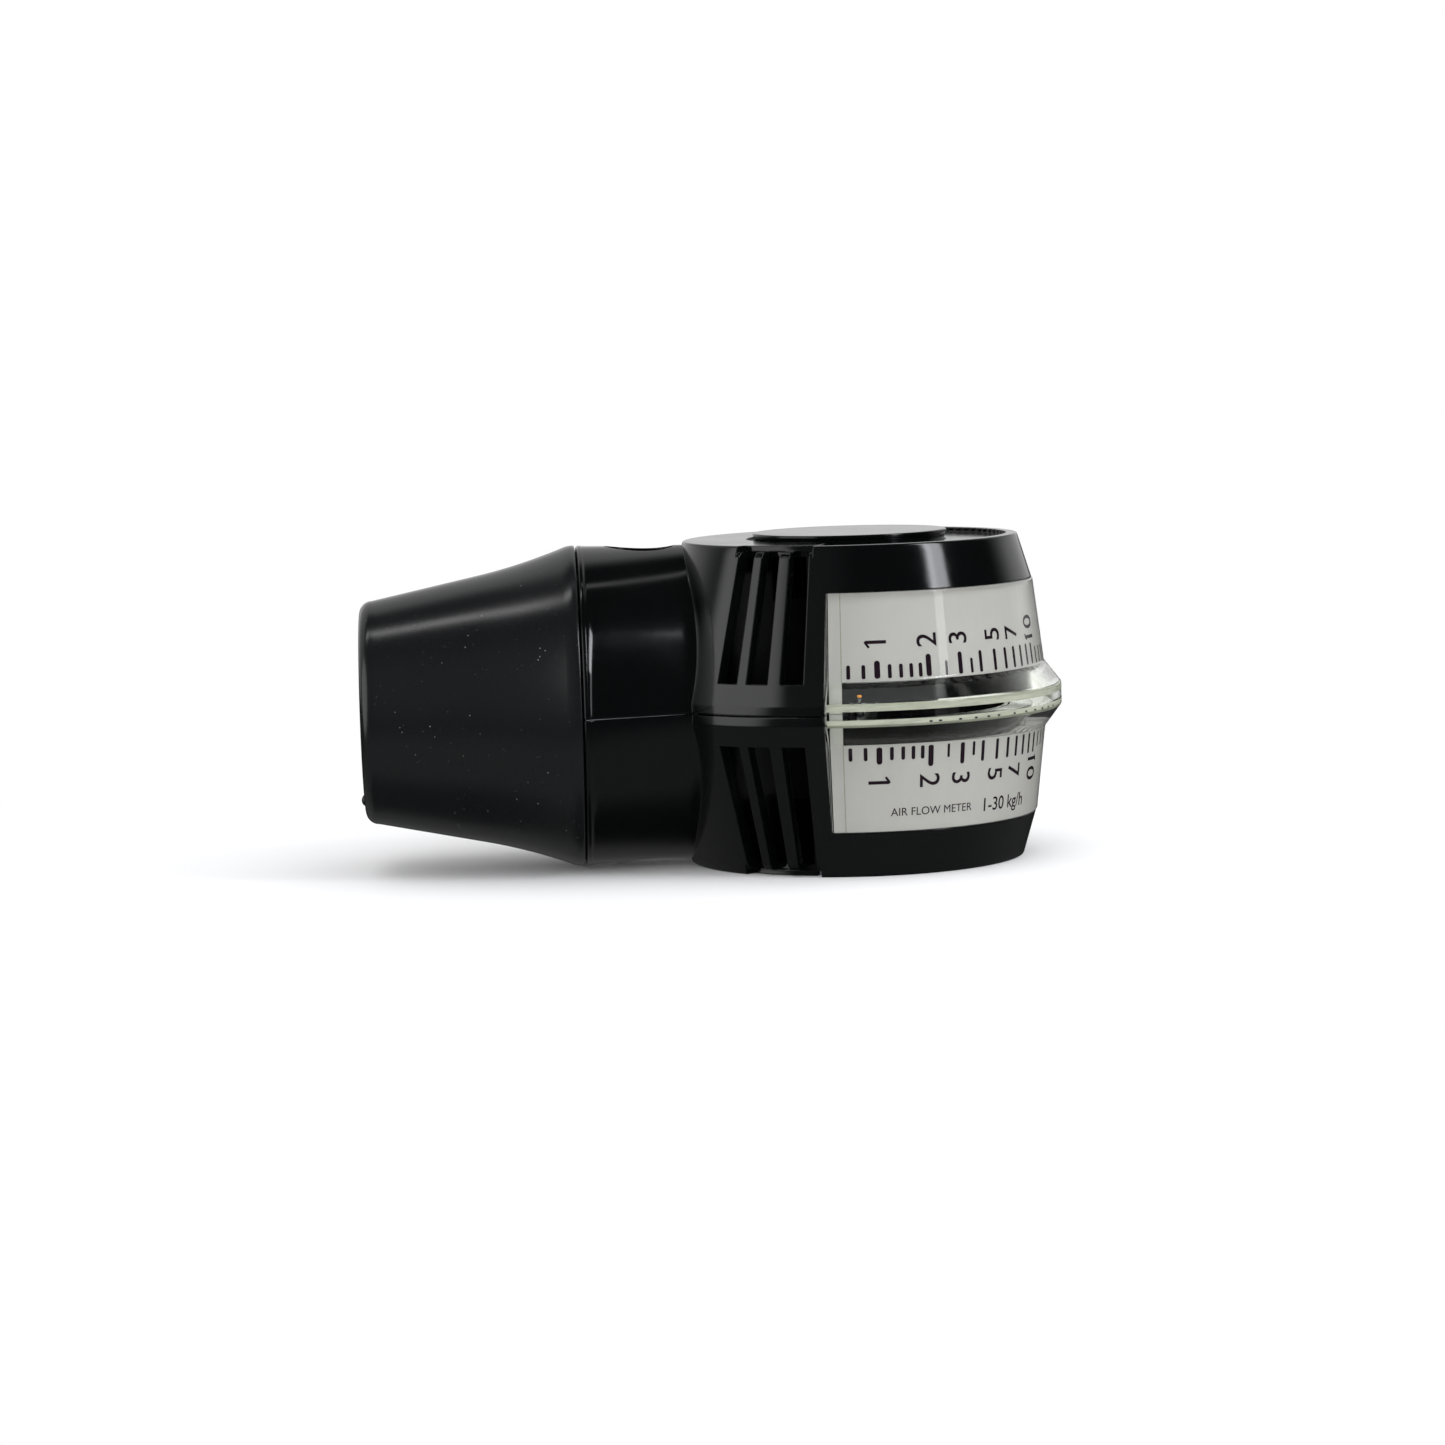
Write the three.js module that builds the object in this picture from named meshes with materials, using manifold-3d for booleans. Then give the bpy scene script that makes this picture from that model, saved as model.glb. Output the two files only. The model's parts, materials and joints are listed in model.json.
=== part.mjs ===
// A hand-held air-flow meter for tuning carburettors.
// A drum-shaped head holds a swinging vane and its curved scale; a short neck leads from the
// head to a soft rubber cone, whose mouth is pressed on a carburettor's intake.
//
// Units are millimetres. +Z is up and the head stands on its lower face, at z = 0.
// The origin is on the head's axis. The neck and the cone lie along -X.
// Azimuths are in degrees, counter-clockwise seen from above, from +X.

import * as THREE from 'three';
import { mergeVertices } from 'three/addons/utils/BufferGeometryUtils.js';
import Module from 'manifold-3d';

const wasm = await Module();
wasm.setup();

// ---- driving dimensions -------------------------------------------------------------------

const GAP = 0.3;                 // clearance between pieces that touch
const WALL = 2.4;                // moulded wall of the housing
const ROUND_STEPS = 60;          // facets round the head
const NECK_STEPS = 48;           // facets round the neck and the cone

// head: two mirrored cones that meet at the seam
const TOP_Z = 69;
const SEAM_Z = TOP_Z / 2;
const FACE_R = 35.8;             // upper and lower faces
const RIM_R = 45.6;              // widest place, at the seam
const BAND = 2.1;                // half height of the upright band at the seam
const EDGE = 0.6;                // chamfer round the upper and lower faces
const SLOPE = (RIM_R - FACE_R) / (SEAM_Z - EDGE - BAND);

// flow chamber inside the head
const CHAMBER_R = 33.6;
const FLOOR_Z = WALL;
const CEILING_Z = TOP_Z - WALL;

// window over the scale, mirrored about +X
const WINDOW_HALF_ANGLE = 102.5;
const WINDOW_HALF_HEIGHT = 24.8;
const WINDOW_EDGE_R = 38.9;      // outer surface at the window's upper and lower edges
const WINDOW_RIDGE_FOOT_R = 41;  // outer surface where the ridge rises
const RIDGE_R = 44.6;            // crown of the ridge over the pointer
const RIDGE_CROWN_HALF = 2.26;
const RIDGE_FOOT_HALF = 7;
const WINDOW_END_DEG = 4;        // solid end wall of the window
const SEAT_SEAM_R = 38.6;        // housing wall behind the scale, at the seam
const SEAT_SLOPE = 0.11;
const STRIP_THICK = 0.5;

// scale and pointer
const REST_AZ = 267;             // where the pointer stands with no flow
const SWING_DEG = 145;
const POINTER_SLOT_HALF = 2;     // half height of the slot that the pointer runs in

// air slots in the side of the head that is over the thumb
const SLOT_CENTRES = [228.3, 238, 248.3];
const SLOT_DEG = 6.5;
const SLOT_NEAR = 6.5;           // distance from the seam to a slot's near end
const SLOT_FAR = 33.3;           // the far ends break through the stepped edge
const STEP_FROM_AZ = 224.5;      // the faces' edges step in over the slots
const STEP_TO_AZ = 253;
const STEP_R = 33.4;
const STEP_DEPTH = 1.3;

// neck and spigot, along the X axis through the seam
// The neck is round at its end. Towards the head its sides draw in to a waist, while its
// top and bottom stay level, so its section becomes a tall superellipse.
const NECK_END_X = -58.8;
const NECK_END_R = 34.3;
const WAIST_X = -36;
const WAIST_HALF_WIDTH = 27.8;
const WAIST_HALF_HEIGHT = 33.8;
const WAIST_POWER = 1.7;
const NECK_INNER_X = -22;        // the neck's form ends here, inside the head
const NECK_WALL = 3;
const SPIGOT_R = 28;
const SPIGOT_BORE_R = 25.2;
const SPIGOT_END_X = -70;

// thumb and finger hollows on the neck
const HOLLOW_X = -45.2;
const HOLLOW_HALF_LENGTH = 7.6;
const HOLLOW_HALF_WIDTH = 5.5;
const HOLLOW_DEPTH = 1.7;

// rubber cone
const MOUTH_X = -105.4;
const MOUTH_R = 23.4;
const MOUTH_ROUND = 2.7;
const MOUTH_BORE_R = 17.5;

// raised disc on the upper face, and the recess beside it
const DISC_R = 20.8;
const DISC_TOP_Z = TOP_Z + 1.25;
const DISC_LIP = 0.4;
const DISC_POCKET_Z = TOP_Z - 1.4;
const DISC_GROOVE_R = 22.2;
const DISC_GROOVE_DEPTH = 0.7;
const RECESS_OUTER_R = 33.6;
const RECESS_DEPTH = 1;
const RECESS_HALF_ANGLE = 106;

// vane, its shaft and its bearings, on the Z axis
const SHAFT_R = 1.5;
const HUB_R = 5;
const HUB_TOP = 23;               // above the seam
const HUB_FOOT = -21;
const VANE_R = 31.5;
const VANE_HALF_HEIGHT = 27;
const VANE_THICK = 0.8;
const POINTER_TIP_R = 42.2;
const PIVOT_SCREW_R = 2.4;
const BOSS_R = 5.5;
const BALANCE_Z = SEAM_Z + 25.1; // the balance arm passes over the partition

// inner walls
const PARTITION_AZ = 215;
const PARTITION_THICK = 1.6;
const STOP_R = 20;

// housing screws
const SCREW_R = 1.2;
const SCREW_HEAD_R = 2.2;
const PILLAR_R = 3.3;
const HEAD_SCREW_AZ = 254.8;
const HEAD_SCREW_RADIUS = 32.6;
const SCREW_SEAT_Z = 1.8;
const SCREW_REACH = 12;          // how far a screw goes into the upper half

// ---- materials ----------------------------------------------------------------------------

const finish = (color, roughness, metalness = 0) =>
  new THREE.MeshStandardMaterial({ color, roughness, metalness });

const BLACK_PLASTIC = finish(0x0c0d0f, 0.28);
const BLACK_RUBBER = finish(0x121315, 0.55);
const CLEAR_PLASTIC = finish(0xdde3d6, 0.08);
const SCALE_CARD = finish(0xb2b4ac, 0.6);
const ORANGE_PLASTIC = finish(0xe0861c, 0.4);
const ALUMINIUM = finish(0xc2c5c8, 0.35, 1);
const BRASS = finish(0xb9924a, 0.3, 1);
const STEEL = finish(0x9a9da1, 0.3, 1);

// ---- geometry helpers ---------------------------------------------------------------------

const radians = THREE.MathUtils.degToRad;

const onCircle = (radius, azimuth) =>
  [radius * Math.cos(radians(azimuth)), radius * Math.sin(radians(azimuth))];

function signedVolume(position, index) {
  const corners = [new THREE.Vector3(), new THREE.Vector3(), new THREE.Vector3()];
  let volume = 0;
  for (let i = 0; i < index.length; i += 3) {
    corners.forEach((corner, k) => corner.fromBufferAttribute(position, index[i + k]));
    volume += corners[0].dot(corners[1].clone().cross(corners[2])) / 6;
  }
  return volume;
}

// Turns a closed geometry into a solid with its faces pointing out.
function solid(geometry) {
  const bare = geometry.clone();
  bare.deleteAttribute('normal');
  bare.deleteAttribute('uv');
  const merged = mergeVertices(bare, 1e-4);
  const index = [];
  for (let i = 0; i < merged.index.count; i += 3) {
    const [a, b, c] = [0, 1, 2].map((k) => merged.index.getX(i + k));
    if (a !== b && b !== c && c !== a) index.push(a, b, c);
  }
  if (signedVolume(merged.attributes.position, index) < 0) index.reverse();
  const vertProperties = new Float32Array(merged.attributes.position.array);
  const triVerts = new Uint32Array(index);
  return new wasm.Manifold(new wasm.Mesh({ numProp: 3, vertProperties, triVerts }));
}

// A profile of [radius, height] points turned about Z.
function turned(profile, steps = ROUND_STEPS) {
  const points = profile.map(([radius, height]) => new THREE.Vector2(radius, height));
  return solid(new THREE.LatheGeometry(points, steps).rotateX(Math.PI / 2));
}

// A profile of [radius, x] points turned about the X axis.
function aboutX(profile) {
  const points = profile.map(([radius, x]) => new THREE.Vector2(radius, x));
  return new THREE.LatheGeometry(points, NECK_STEPS).rotateX(Math.PI / 2).rotateY(Math.PI / 2);
}

const turnedAlongNeck = (profile) => solid(aboutX(profile).translate(0, 0, SEAM_Z));

// A ring or disc with upright sides, about Z.
const ring = (inner, outer, z0, z1, steps) =>
  turned([[inner, z0], [outer, z0], [outer, z1], [inner, z1], [inner, z0]], steps);
const disc = (radius, z0, z1, steps) =>
  turned([[0, z0], [radius, z0], [radius, z1], [0, z1]], steps);

// An outline of [x, y] points extruded from z0 to z1.
function prism(outline, z0, z1) {
  const shape = new THREE.Shape(outline.map(([x, y]) => new THREE.Vector2(x, y)));
  const geometry = new THREE.ExtrudeGeometry(shape, { depth: z1 - z0, bevelEnabled: false });
  return solid(geometry.translate(0, 0, z0));
}

// A slice of a pie between two azimuths.
function sector(from, to, radius, z0, z1) {
  const steps = Math.ceil((to - from) / 5);
  const rim = Array.from({ length: steps + 1 }, (_, i) =>
    onCircle(radius, from + (to - from) * i / steps));
  return prism([[0, 0], ...rim], z0, z1);
}

// A round rod parallel to Z.
const rod = (radius, z0, z1, [x, y] = [0, 0], steps = 20) =>
  disc(radius, z0, z1, steps).translate([x, y, 0]);

// A box between two corners.
function block([x0, y0, z0], [x1, y1, z1]) {
  const geometry = new THREE.BoxGeometry(x1 - x0, y1 - y0, z1 - z0);
  return solid(geometry.translate((x0 + x1) / 2, (y0 + y1) / 2, (z0 + z1) / 2));
}

const joined = (parts) => parts.reduce((whole, part) => whole.add(part));
const turnedTo = (part, azimuth) => part.rotate([0, 0, azimuth]);
const mirrored = (part) => part.mirror([0, 0, 1]).translate([0, 0, 2 * SEAM_Z]);

const group = new THREE.Group();

function addPiece(name, part, material) {
  const { vertProperties, triVerts } = part.getMesh();
  const geometry = new THREE.BufferGeometry();
  geometry.setAttribute('position', new THREE.Float32BufferAttribute(vertProperties, 3));
  geometry.setIndex(Array.from(triVerts));
  geometry.computeVertexNormals();
  const mesh = new THREE.Mesh(geometry, material.clone());
  mesh.name = name;
  group.add(mesh);
}

// ---- shapes shared by several pieces ------------------------------------------------------

// The head's outer form, drawn in by an inset.
function drum(inset) {
  const faceR = FACE_R - inset;
  const rimR = RIM_R - inset;
  const z0 = inset;
  const z1 = TOP_Z - inset;
  return turned([
    [0, z0], [faceR - EDGE, z0], [faceR, z0 + EDGE],
    [rimR, SEAM_Z - BAND], [rimR, SEAM_Z + BAND],
    [faceR, z1 - EDGE], [faceR - EDGE, z1], [0, z1],
  ]);
}

const seatRadius = (offset) => SEAT_SEAM_R - SEAT_SLOPE * Math.abs(offset);

// A band about Z that is mirrored at the seam: a profile of [radius, offset] points for the
// upper half, from the seam outwards.
function mirroredBand(outerProfile, innerProfile) {
  const upper = ([radius, offset]) => [radius, SEAM_Z + offset];
  const lower = ([radius, offset]) => [radius, SEAM_Z - offset];
  const outline = [
    ...[...outerProfile].reverse().map(lower), ...outerProfile.map(upper),
    ...[...innerProfile].reverse().map(upper), ...innerProfile.map(lower),
  ];
  return turned([...outline, outline[0]]);
}

const screwPlaces = [
  onCircle(HEAD_SCREW_RADIUS, HEAD_SCREW_AZ),
  onCircle(HEAD_SCREW_RADIUS, 360 - HEAD_SCREW_AZ),
];

// ---- housing ------------------------------------------------------------------------------

// The neck's section at x, as half width, half height and superellipse power.
function neckSection(x) {
  const along = THREE.MathUtils.clamp((x - NECK_END_X) / (WAIST_X - NECK_END_X), 0, 1);
  return {
    halfWidth: THREE.MathUtils.lerp(NECK_END_R, WAIST_HALF_WIDTH, along),
    halfHeight: THREE.MathUtils.lerp(NECK_END_R, WAIST_HALF_HEIGHT, Math.sqrt(along)),
    power: THREE.MathUtils.lerp(2, WAIST_POWER, along),
  };
}

// A bar with the neck's section, less an inset, between two places on the X axis.
function neckBar(fromX, toX, inset) {
  const rows = 7;
  const side = Array.from({ length: rows + 1 }, (_, i) => [1, fromX + (toX - fromX) * i / rows]);
  const geometry = aboutX([[0, fromX], ...side, [0, toX]]);
  const position = geometry.attributes.position;
  for (let i = 0; i < position.count; i += 1) {
    const { halfWidth, halfHeight, power } = neckSection(position.getX(i));
    const bent = (value) => Math.sign(value) * Math.abs(value) ** (2 / power);
    position.setY(i, bent(position.getY(i)) * (halfWidth - inset));
    position.setZ(i, bent(position.getZ(i)) * (halfHeight - inset) + SEAM_Z);
  }
  return solid(geometry);
}

function neckForm() {
  const edge = 0.5;
  const bar = neckBar(NECK_END_X + edge, NECK_INNER_X, 0);
  const end = turnedAlongNeck([
    [0, NECK_END_X + 2], [NECK_END_R - 1.5, NECK_END_X + 2], [NECK_END_R - 0.1, NECK_END_X + edge],
    [NECK_END_R - edge, NECK_END_X], [SPIGOT_R, NECK_END_X], [SPIGOT_R, SPIGOT_END_X + edge],
    [SPIGOT_R - edge, SPIGOT_END_X], [0, SPIGOT_END_X],
  ]);
  return bar.add(end);
}

function neckBore() {
  const shoulderX = NECK_END_X + 4;
  const spigotBore = turnedAlongNeck([
    [0, shoulderX + 4], [SPIGOT_BORE_R + 2, shoulderX + 4], [SPIGOT_BORE_R, shoulderX - 1],
    [SPIGOT_BORE_R, SPIGOT_END_X - 1], [0, SPIGOT_END_X - 1],
  ]);
  return neckBar(shoulderX, NECK_INNER_X + 8, NECK_WALL).add(spigotBore);
}

// The chamber is a plain cylinder behind the window and widens to the outer wall elsewhere.
function chamber() {
  const open = sector(WINDOW_HALF_ANGLE + 3, 360 - WINDOW_HALF_ANGLE - 3, 60, 0, TOP_Z);
  const bay = drum(WALL).intersect(open);
  return disc(CHAMBER_R, FLOOR_Z, CEILING_Z).add(bay);
}

function windowRecess() {
  const top = WINDOW_HALF_HEIGHT + GAP;
  const cut = mirroredBand([[60, 0], [60, top]], [[seatRadius(0), 0], [seatRadius(top), top]]);
  return cut.intersect(sector(-WINDOW_HALF_ANGLE, WINDOW_HALF_ANGLE, 80, 0, TOP_Z));
}

function pointerSlot() {
  const height = [SEAM_Z - POINTER_SLOT_HALF, SEAM_Z + POINTER_SLOT_HALF];
  const path = sector(REST_AZ - 360 - 3, REST_AZ - 360 + SWING_DEG + 4, 50, ...height);
  return ring(CHAMBER_R - 2, 50, ...height).intersect(path);
}

function airSlots() {
  const reach = ring(CHAMBER_R - 1, 60, SEAM_Z + SLOT_NEAR, SEAM_Z + SLOT_FAR);
  const cuts = SLOT_CENTRES.map((centre) =>
    reach.intersect(sector(centre - SLOT_DEG / 2, centre + SLOT_DEG / 2, 80, 0, TOP_Z)));
  const step = ring(STEP_R, 60, TOP_Z - STEP_DEPTH, TOP_Z + 1)
    .intersect(sector(STEP_FROM_AZ, STEP_TO_AZ, 80, 0, 80));
  const upper = joined([...cuts, step]);
  return upper.add(mirrored(upper));
}

function neckHollows() {
  const sphere = new THREE.SphereGeometry(1, 32, 16);
  const halfHeight = 6;
  const cap = Math.sqrt(1 - (1 - HOLLOW_DEPTH / halfHeight) ** 2);
  const scoop = solid(sphere.rotateX(Math.PI / 2))
    .scale([HOLLOW_HALF_LENGTH / cap, HOLLOW_HALF_WIDTH / cap, halfHeight])
    .translate([HOLLOW_X, 0, SEAM_Z + WAIST_HALF_HEIGHT - HOLLOW_DEPTH + halfHeight]);
  return scoop.add(mirrored(scoop));
}

// Pillars for the screws, kept inside the head.
function screwPillars(outer) {
  const pillars = screwPlaces.map((place) => rod(PILLAR_R, 0, TOP_Z, place));
  return joined(pillars).intersect(outer);
}

function screwHoles() {
  const holes = screwPlaces.map((place) => joined([
    rod(SCREW_R + GAP, SCREW_SEAT_Z - 1, SEAM_Z + SCREW_REACH + GAP, place),
    rod(SCREW_HEAD_R + GAP, -1, SCREW_SEAT_Z + GAP, place),
  ]));
  return joined(holes);
}

// Bosses on the Z axis that hold the pivot screws.
function pivotBosses() {
  const lower = rod(BOSS_R, 1, FLOOR_Z + 4, [0, 0], 32);
  return lower.add(mirrored(lower));
}

function topFaceCuts() {
  const discPocket = disc(DISC_R - DISC_LIP + GAP, DISC_POCKET_Z, TOP_Z + 1);
  const groove = disc(DISC_GROOVE_R, TOP_Z - DISC_GROOVE_DEPTH, TOP_Z + 1);
  const recess = ring(DISC_R - 1, RECESS_OUTER_R, TOP_Z - RECESS_DEPTH, TOP_Z + 1)
    .intersect(sector(-RECESS_HALF_ANGLE, RECESS_HALF_ANGLE, 80, 0, 80));
  const nutPocket = rod(4.4, CEILING_Z - 2.4, TOP_Z, [0, 0], 6);
  const bore = rod(PIVOT_SCREW_R + GAP, CEILING_Z - 6, TOP_Z);
  return joined([discPocket, groove, recess, nutPocket, bore]);
}

function housing() {
  const outer = drum(0).add(neckForm());
  const hollow = joined([chamber(), neckBore()]);
  const shell = outer.subtract(hollow).add(screwPillars(outer)).add(pivotBosses());
  const lowerBore = rod(PIVOT_SCREW_R + GAP, FLOOR_Z, FLOOR_Z + 6);
  const cuts = [windowRecess(), pointerSlot(), airSlots(), neckHollows(), screwHoles(),
    topFaceCuts(), lowerBore];
  return cuts.reduce((body, cut) => body.subtract(cut), shell);
}

const sealX = (NECK_END_X + SPIGOT_END_X) / 2;
const sealGroove = () => turnedAlongNeck([
  [SPIGOT_R - 1.3, sealX - 1.3], [SPIGOT_R + 1, sealX - 1.3], [SPIGOT_R + 1, sealX + 1.3],
  [SPIGOT_R - 1.3, sealX + 1.3], [SPIGOT_R - 1.3, sealX - 1.3],
]);

function addHousing() {
  const whole = housing().subtract(sealGroove());
  const above = block([-200, -80, SEAM_Z + GAP / 2], [80, 80, TOP_Z + 10]);
  const below = block([-200, -80, -10], [80, 80, SEAM_Z - GAP / 2]);
  addPiece('upper_housing', whole.intersect(above), BLACK_PLASTIC);
  addPiece('lower_housing', whole.intersect(below), BLACK_PLASTIC);
}

function addTopDisc() {
  const underside = DISC_POCKET_Z + GAP;
  const lipZ = DISC_TOP_Z - 0.35;
  addPiece('top_disc', turned([
    [0, underside], [DISC_R - DISC_LIP, underside], [DISC_R - DISC_LIP, lipZ],
    [DISC_R, lipZ], [DISC_R, DISC_TOP_Z], [0, DISC_TOP_Z],
  ]), BLACK_PLASTIC);
}

function addSealRing() {
  addPiece('cone_seal_ring', turnedAlongNeck([
    [SPIGOT_R - 1, sealX - 1], [SPIGOT_R - 0.1, sealX - 1], [SPIGOT_R + 0.1, sealX],
    [SPIGOT_R - 0.1, sealX + 1], [SPIGOT_R - 1, sealX + 1], [SPIGOT_R - 1, sealX - 1],
  ]), BLACK_RUBBER);
}

function addHousingScrews() {
  screwPlaces.forEach((place, i) => {
    const shank = rod(SCREW_R, SCREW_SEAT_Z - 1, SEAM_Z + SCREW_REACH, place, 12);
    const head = rod(SCREW_HEAD_R, SCREW_SEAT_Z - 1.5, SCREW_SEAT_Z, place, 16);
    const slot = block([-3, -0.3, SCREW_SEAT_Z - 2], [3, 0.3, SCREW_SEAT_Z - 0.8]).translate([...place, 0]);
    addPiece(`housing_screw_${i + 1}`, shank.add(head).subtract(slot), STEEL);
  });
}

// ---- window and scale ---------------------------------------------------------------------

const STRIP_INNER = GAP;                       // measured outwards from the seat
const STRIP_OUTER = STRIP_INNER + STRIP_THICK;
const WINDOW_INNER = STRIP_OUTER + GAP;
const STRIP_NEAR = RIDGE_FOOT_HALF + 0.3;
const STRIP_FAR = WINDOW_HALF_HEIGHT - 0.3;

function windowForm(innerProfile) {
  const outerProfile = [
    [RIDGE_R, RIDGE_CROWN_HALF], [WINDOW_RIDGE_FOOT_R, RIDGE_FOOT_HALF],
    [WINDOW_EDGE_R, WINDOW_HALF_HEIGHT],
  ];
  return mirroredBand(outerProfile, innerProfile);
}

function addWindow() {
  const ridgeInner = [[RIDGE_R - 1.7, RIDGE_CROWN_HALF - 0.6],
    [seatRadius(6) + WINDOW_INNER, RIDGE_FOOT_HALF - 1]];
  const edge = [seatRadius(WINDOW_HALF_HEIGHT) + WINDOW_INNER, WINDOW_HALF_HEIGHT];
  const reach = WINDOW_HALF_ANGLE - 0.4;
  const middle = reach - WINDOW_END_DEG;
  const cover = windowForm([...ridgeInner, edge])
    .intersect(sector(-reach, reach, 80, 0, TOP_Z));
  const full = windowForm([
    [seatRadius(0) + GAP, 0], [seatRadius(WINDOW_HALF_HEIGHT) + GAP, WINDOW_HALF_HEIGHT],
  ]);
  const ends = full.intersect(sector(-reach, -middle, 80, 0, TOP_Z)
    .add(sector(middle, reach, 80, 0, TOP_Z)));
  addPiece('scale_window', cover.add(ends), CLEAR_PLASTIC);
}

function addScaleStrips() {
  const profile = (depth) => [[seatRadius(STRIP_NEAR) + depth, SEAM_Z + STRIP_NEAR],
    [seatRadius(STRIP_FAR) + depth, SEAM_Z + STRIP_FAR]];
  const inner = profile(STRIP_INNER);
  const outer = profile(STRIP_OUTER);
  const band = turned([inner[0], outer[0], outer[1], inner[1], inner[0]]);
  const reach = WINDOW_HALF_ANGLE - 0.4 - WINDOW_END_DEG - 0.5;
  const upper = band.intersect(sector(-reach, reach, 80, 0, TOP_Z));
  addPiece('upper_scale_strip', upper, SCALE_CARD);
  addPiece('lower_scale_strip', mirrored(upper), SCALE_CARD);
}

// ---- bearings, spring, stops and inner walls ----------------------------------------------

const PIVOT_REACH = 5.2;         // how far a pivot screw stands out of the floor or ceiling
const PIVOT_CUP = 1;

function pivotScrew(z0, z1) {
  const cup = rod(0.9, z1 - PIVOT_CUP, z1 + 1, [0, 0], 12);
  return rod(PIVOT_SCREW_R, z0, z1).subtract(cup);
}

function addBearings() {
  const z0 = FLOOR_Z + GAP;
  addPiece('lower_pivot_screw', pivotScrew(z0, FLOOR_Z + PIVOT_REACH), BRASS);
  const upper = mirrored(pivotScrew(z0 - WALL + 0.4, FLOOR_Z + PIVOT_REACH));
  const hexNut = (from, to) => rod(4, from, to, [0, 0], 6)
    .subtract(rod(PIVOT_SCREW_R + GAP, from - 1, to + 1));
  const shortened = block([-9, -9, 0], [9, 9, DISC_POCKET_Z]);
  addPiece('upper_pivot_screw', upper.intersect(shortened), BRASS);
  const seat = CEILING_Z - 2.4 + GAP;
  addPiece('upper_pivot_nut', hexNut(seat, seat + 2.2), BRASS);
  const ledge = FLOOR_Z + 4 + GAP;
  addPiece('lower_pivot_nut', hexNut(ledge, ledge + 0.8), BRASS);
}

const SPRING_Z = SEAM_Z - 26.5 + 1.4;
const SPRING_INNER_R = 4.3;
const SPRING_OUTER_R = 9;
const SPRING_TURNS = 3;

// A flat ribbon wound in a spiral about the shaft.
function addHairspring() {
  const steps = 16 * SPRING_TURNS;
  const side = (offset) => Array.from({ length: steps + 1 }, (_, i) => {
    const along = i / steps;
    const radius = SPRING_INNER_R + (SPRING_OUTER_R - SPRING_INNER_R) * along + offset;
    return onCircle(radius, 360 * SPRING_TURNS * along);
  });
  const outline = [...side(-0.12), ...side(0.12).reverse()];
  addPiece('hairspring', prism(outline, SPRING_Z - 0.5, SPRING_Z + 0.5), BRASS);
  const stud = rod(0.8, FLOOR_Z + GAP, SPRING_Z + 1.2, [SPRING_OUTER_R + 1.3, 0], 12);
  addPiece('spring_stud', stud, BRASS);
}

function addStops() {
  const clearance = VANE_THICK / 2 + GAP + 1.1;
  const offset = THREE.MathUtils.radToDeg(clearance / STOP_R);
  const stop = (azimuth) =>
    rod(1, FLOOR_Z + GAP, SEAM_Z - VANE_HALF_HEIGHT + 6, onCircle(STOP_R, azimuth), 12);
  addPiece('rest_stop', stop(REST_AZ - offset), STEEL);
  addPiece('full_scale_stop', stop(REST_AZ + SWING_DEG + offset), STEEL);
}

// The wall that keeps the air slots apart from the neck, with a notch for the balance arm.
function addPartition() {
  const slab = block([HUB_R + 0.6, -PARTITION_THICK / 2, 0],
    [60, PARTITION_THICK / 2, TOP_Z]);
  const inside = drum(WALL + GAP);
  const notch = block([0, -5, BALANCE_Z - 3], [22, 5, TOP_Z]);
  const springBay = block([0, -5, 0], [SPRING_OUTER_R + 3.2, 5, SPRING_Z + 2]);
  const plate = slab.intersect(inside).subtract(notch).subtract(springBay);
  addPiece('flow_partition', turnedTo(plate, PARTITION_AZ), BLACK_PLASTIC);
}

// Liners round the vane's path: the room beside the vane's edge grows as it swings.
function addScrolls() {
  const steps = 24;
  const from = REST_AZ - 360;
  const arc = (radiusAt) => Array.from({ length: steps + 1 }, (_, i) =>
    onCircle(radiusAt(i / steps), from + SWING_DEG * i / steps));
  const outline = [...arc(() => CHAMBER_R - GAP - 0.1),
    ...arc((along) => VANE_R + 0.4 + 0.9 * along).reverse()];
  const lower = prism(outline, FLOOR_Z + GAP, SEAM_Z - POINTER_SLOT_HALF);
  addPiece('lower_scroll', lower, BLACK_PLASTIC);
  addPiece('upper_scroll', mirrored(lower), BLACK_PLASTIC);
}

// ---- swinging vane ------------------------------------------------------------------------

function addShaft() {
  const tipZ = FLOOR_Z + PIVOT_REACH - PIVOT_CUP + 0.4;
  const shoulderZ = FLOOR_Z + PIVOT_REACH + 0.4;
  const profile = [[0, tipZ], [0.3, tipZ], [0.5, shoulderZ - 0.3], [SHAFT_R, shoulderZ]];
  const upper = profile.map(([radius, z]) => [radius, TOP_Z - z]).reverse();
  addPiece('vane_shaft', turned([...profile, ...upper], 16), STEEL);
}

function addVane() {
  const hub = ring(SHAFT_R + GAP, HUB_R, SEAM_Z + HUB_FOOT, SEAM_Z + HUB_TOP, 32);
  addPiece('vane_hub', hub, ALUMINIUM);
  const half = VANE_THICK / 2;
  const plate = block([HUB_R + GAP, -half, SEAM_Z - VANE_HALF_HEIGHT + 5],
    [VANE_R, half, SEAM_Z + VANE_HALF_HEIGHT]);
  const pointerNotch = block([VANE_R - 4 - GAP, -2, SEAM_Z - 1 - GAP],
    [VANE_R + 1, 2, SEAM_Z + 1 + GAP]);
  addPiece('vane_plate', turnedTo(plate.subtract(pointerNotch), REST_AZ), ALUMINIUM);
}

// A flat arm that comes out through the slot and turns up at its tip, under the ridge.
function addPointer() {
  const outline = [[VANE_R - 4, -1], [POINTER_TIP_R - 3.4, -1], [POINTER_TIP_R, -0.45],
    [POINTER_TIP_R, 0.45], [POINTER_TIP_R - 3.4, 1], [VANE_R - 4, 1]];
  const arm = prism(outline, SEAM_Z - 0.8, SEAM_Z + 0.8);
  addPiece('pointer', turnedTo(arm, REST_AZ), ORANGE_PLASTIC);
}

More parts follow.
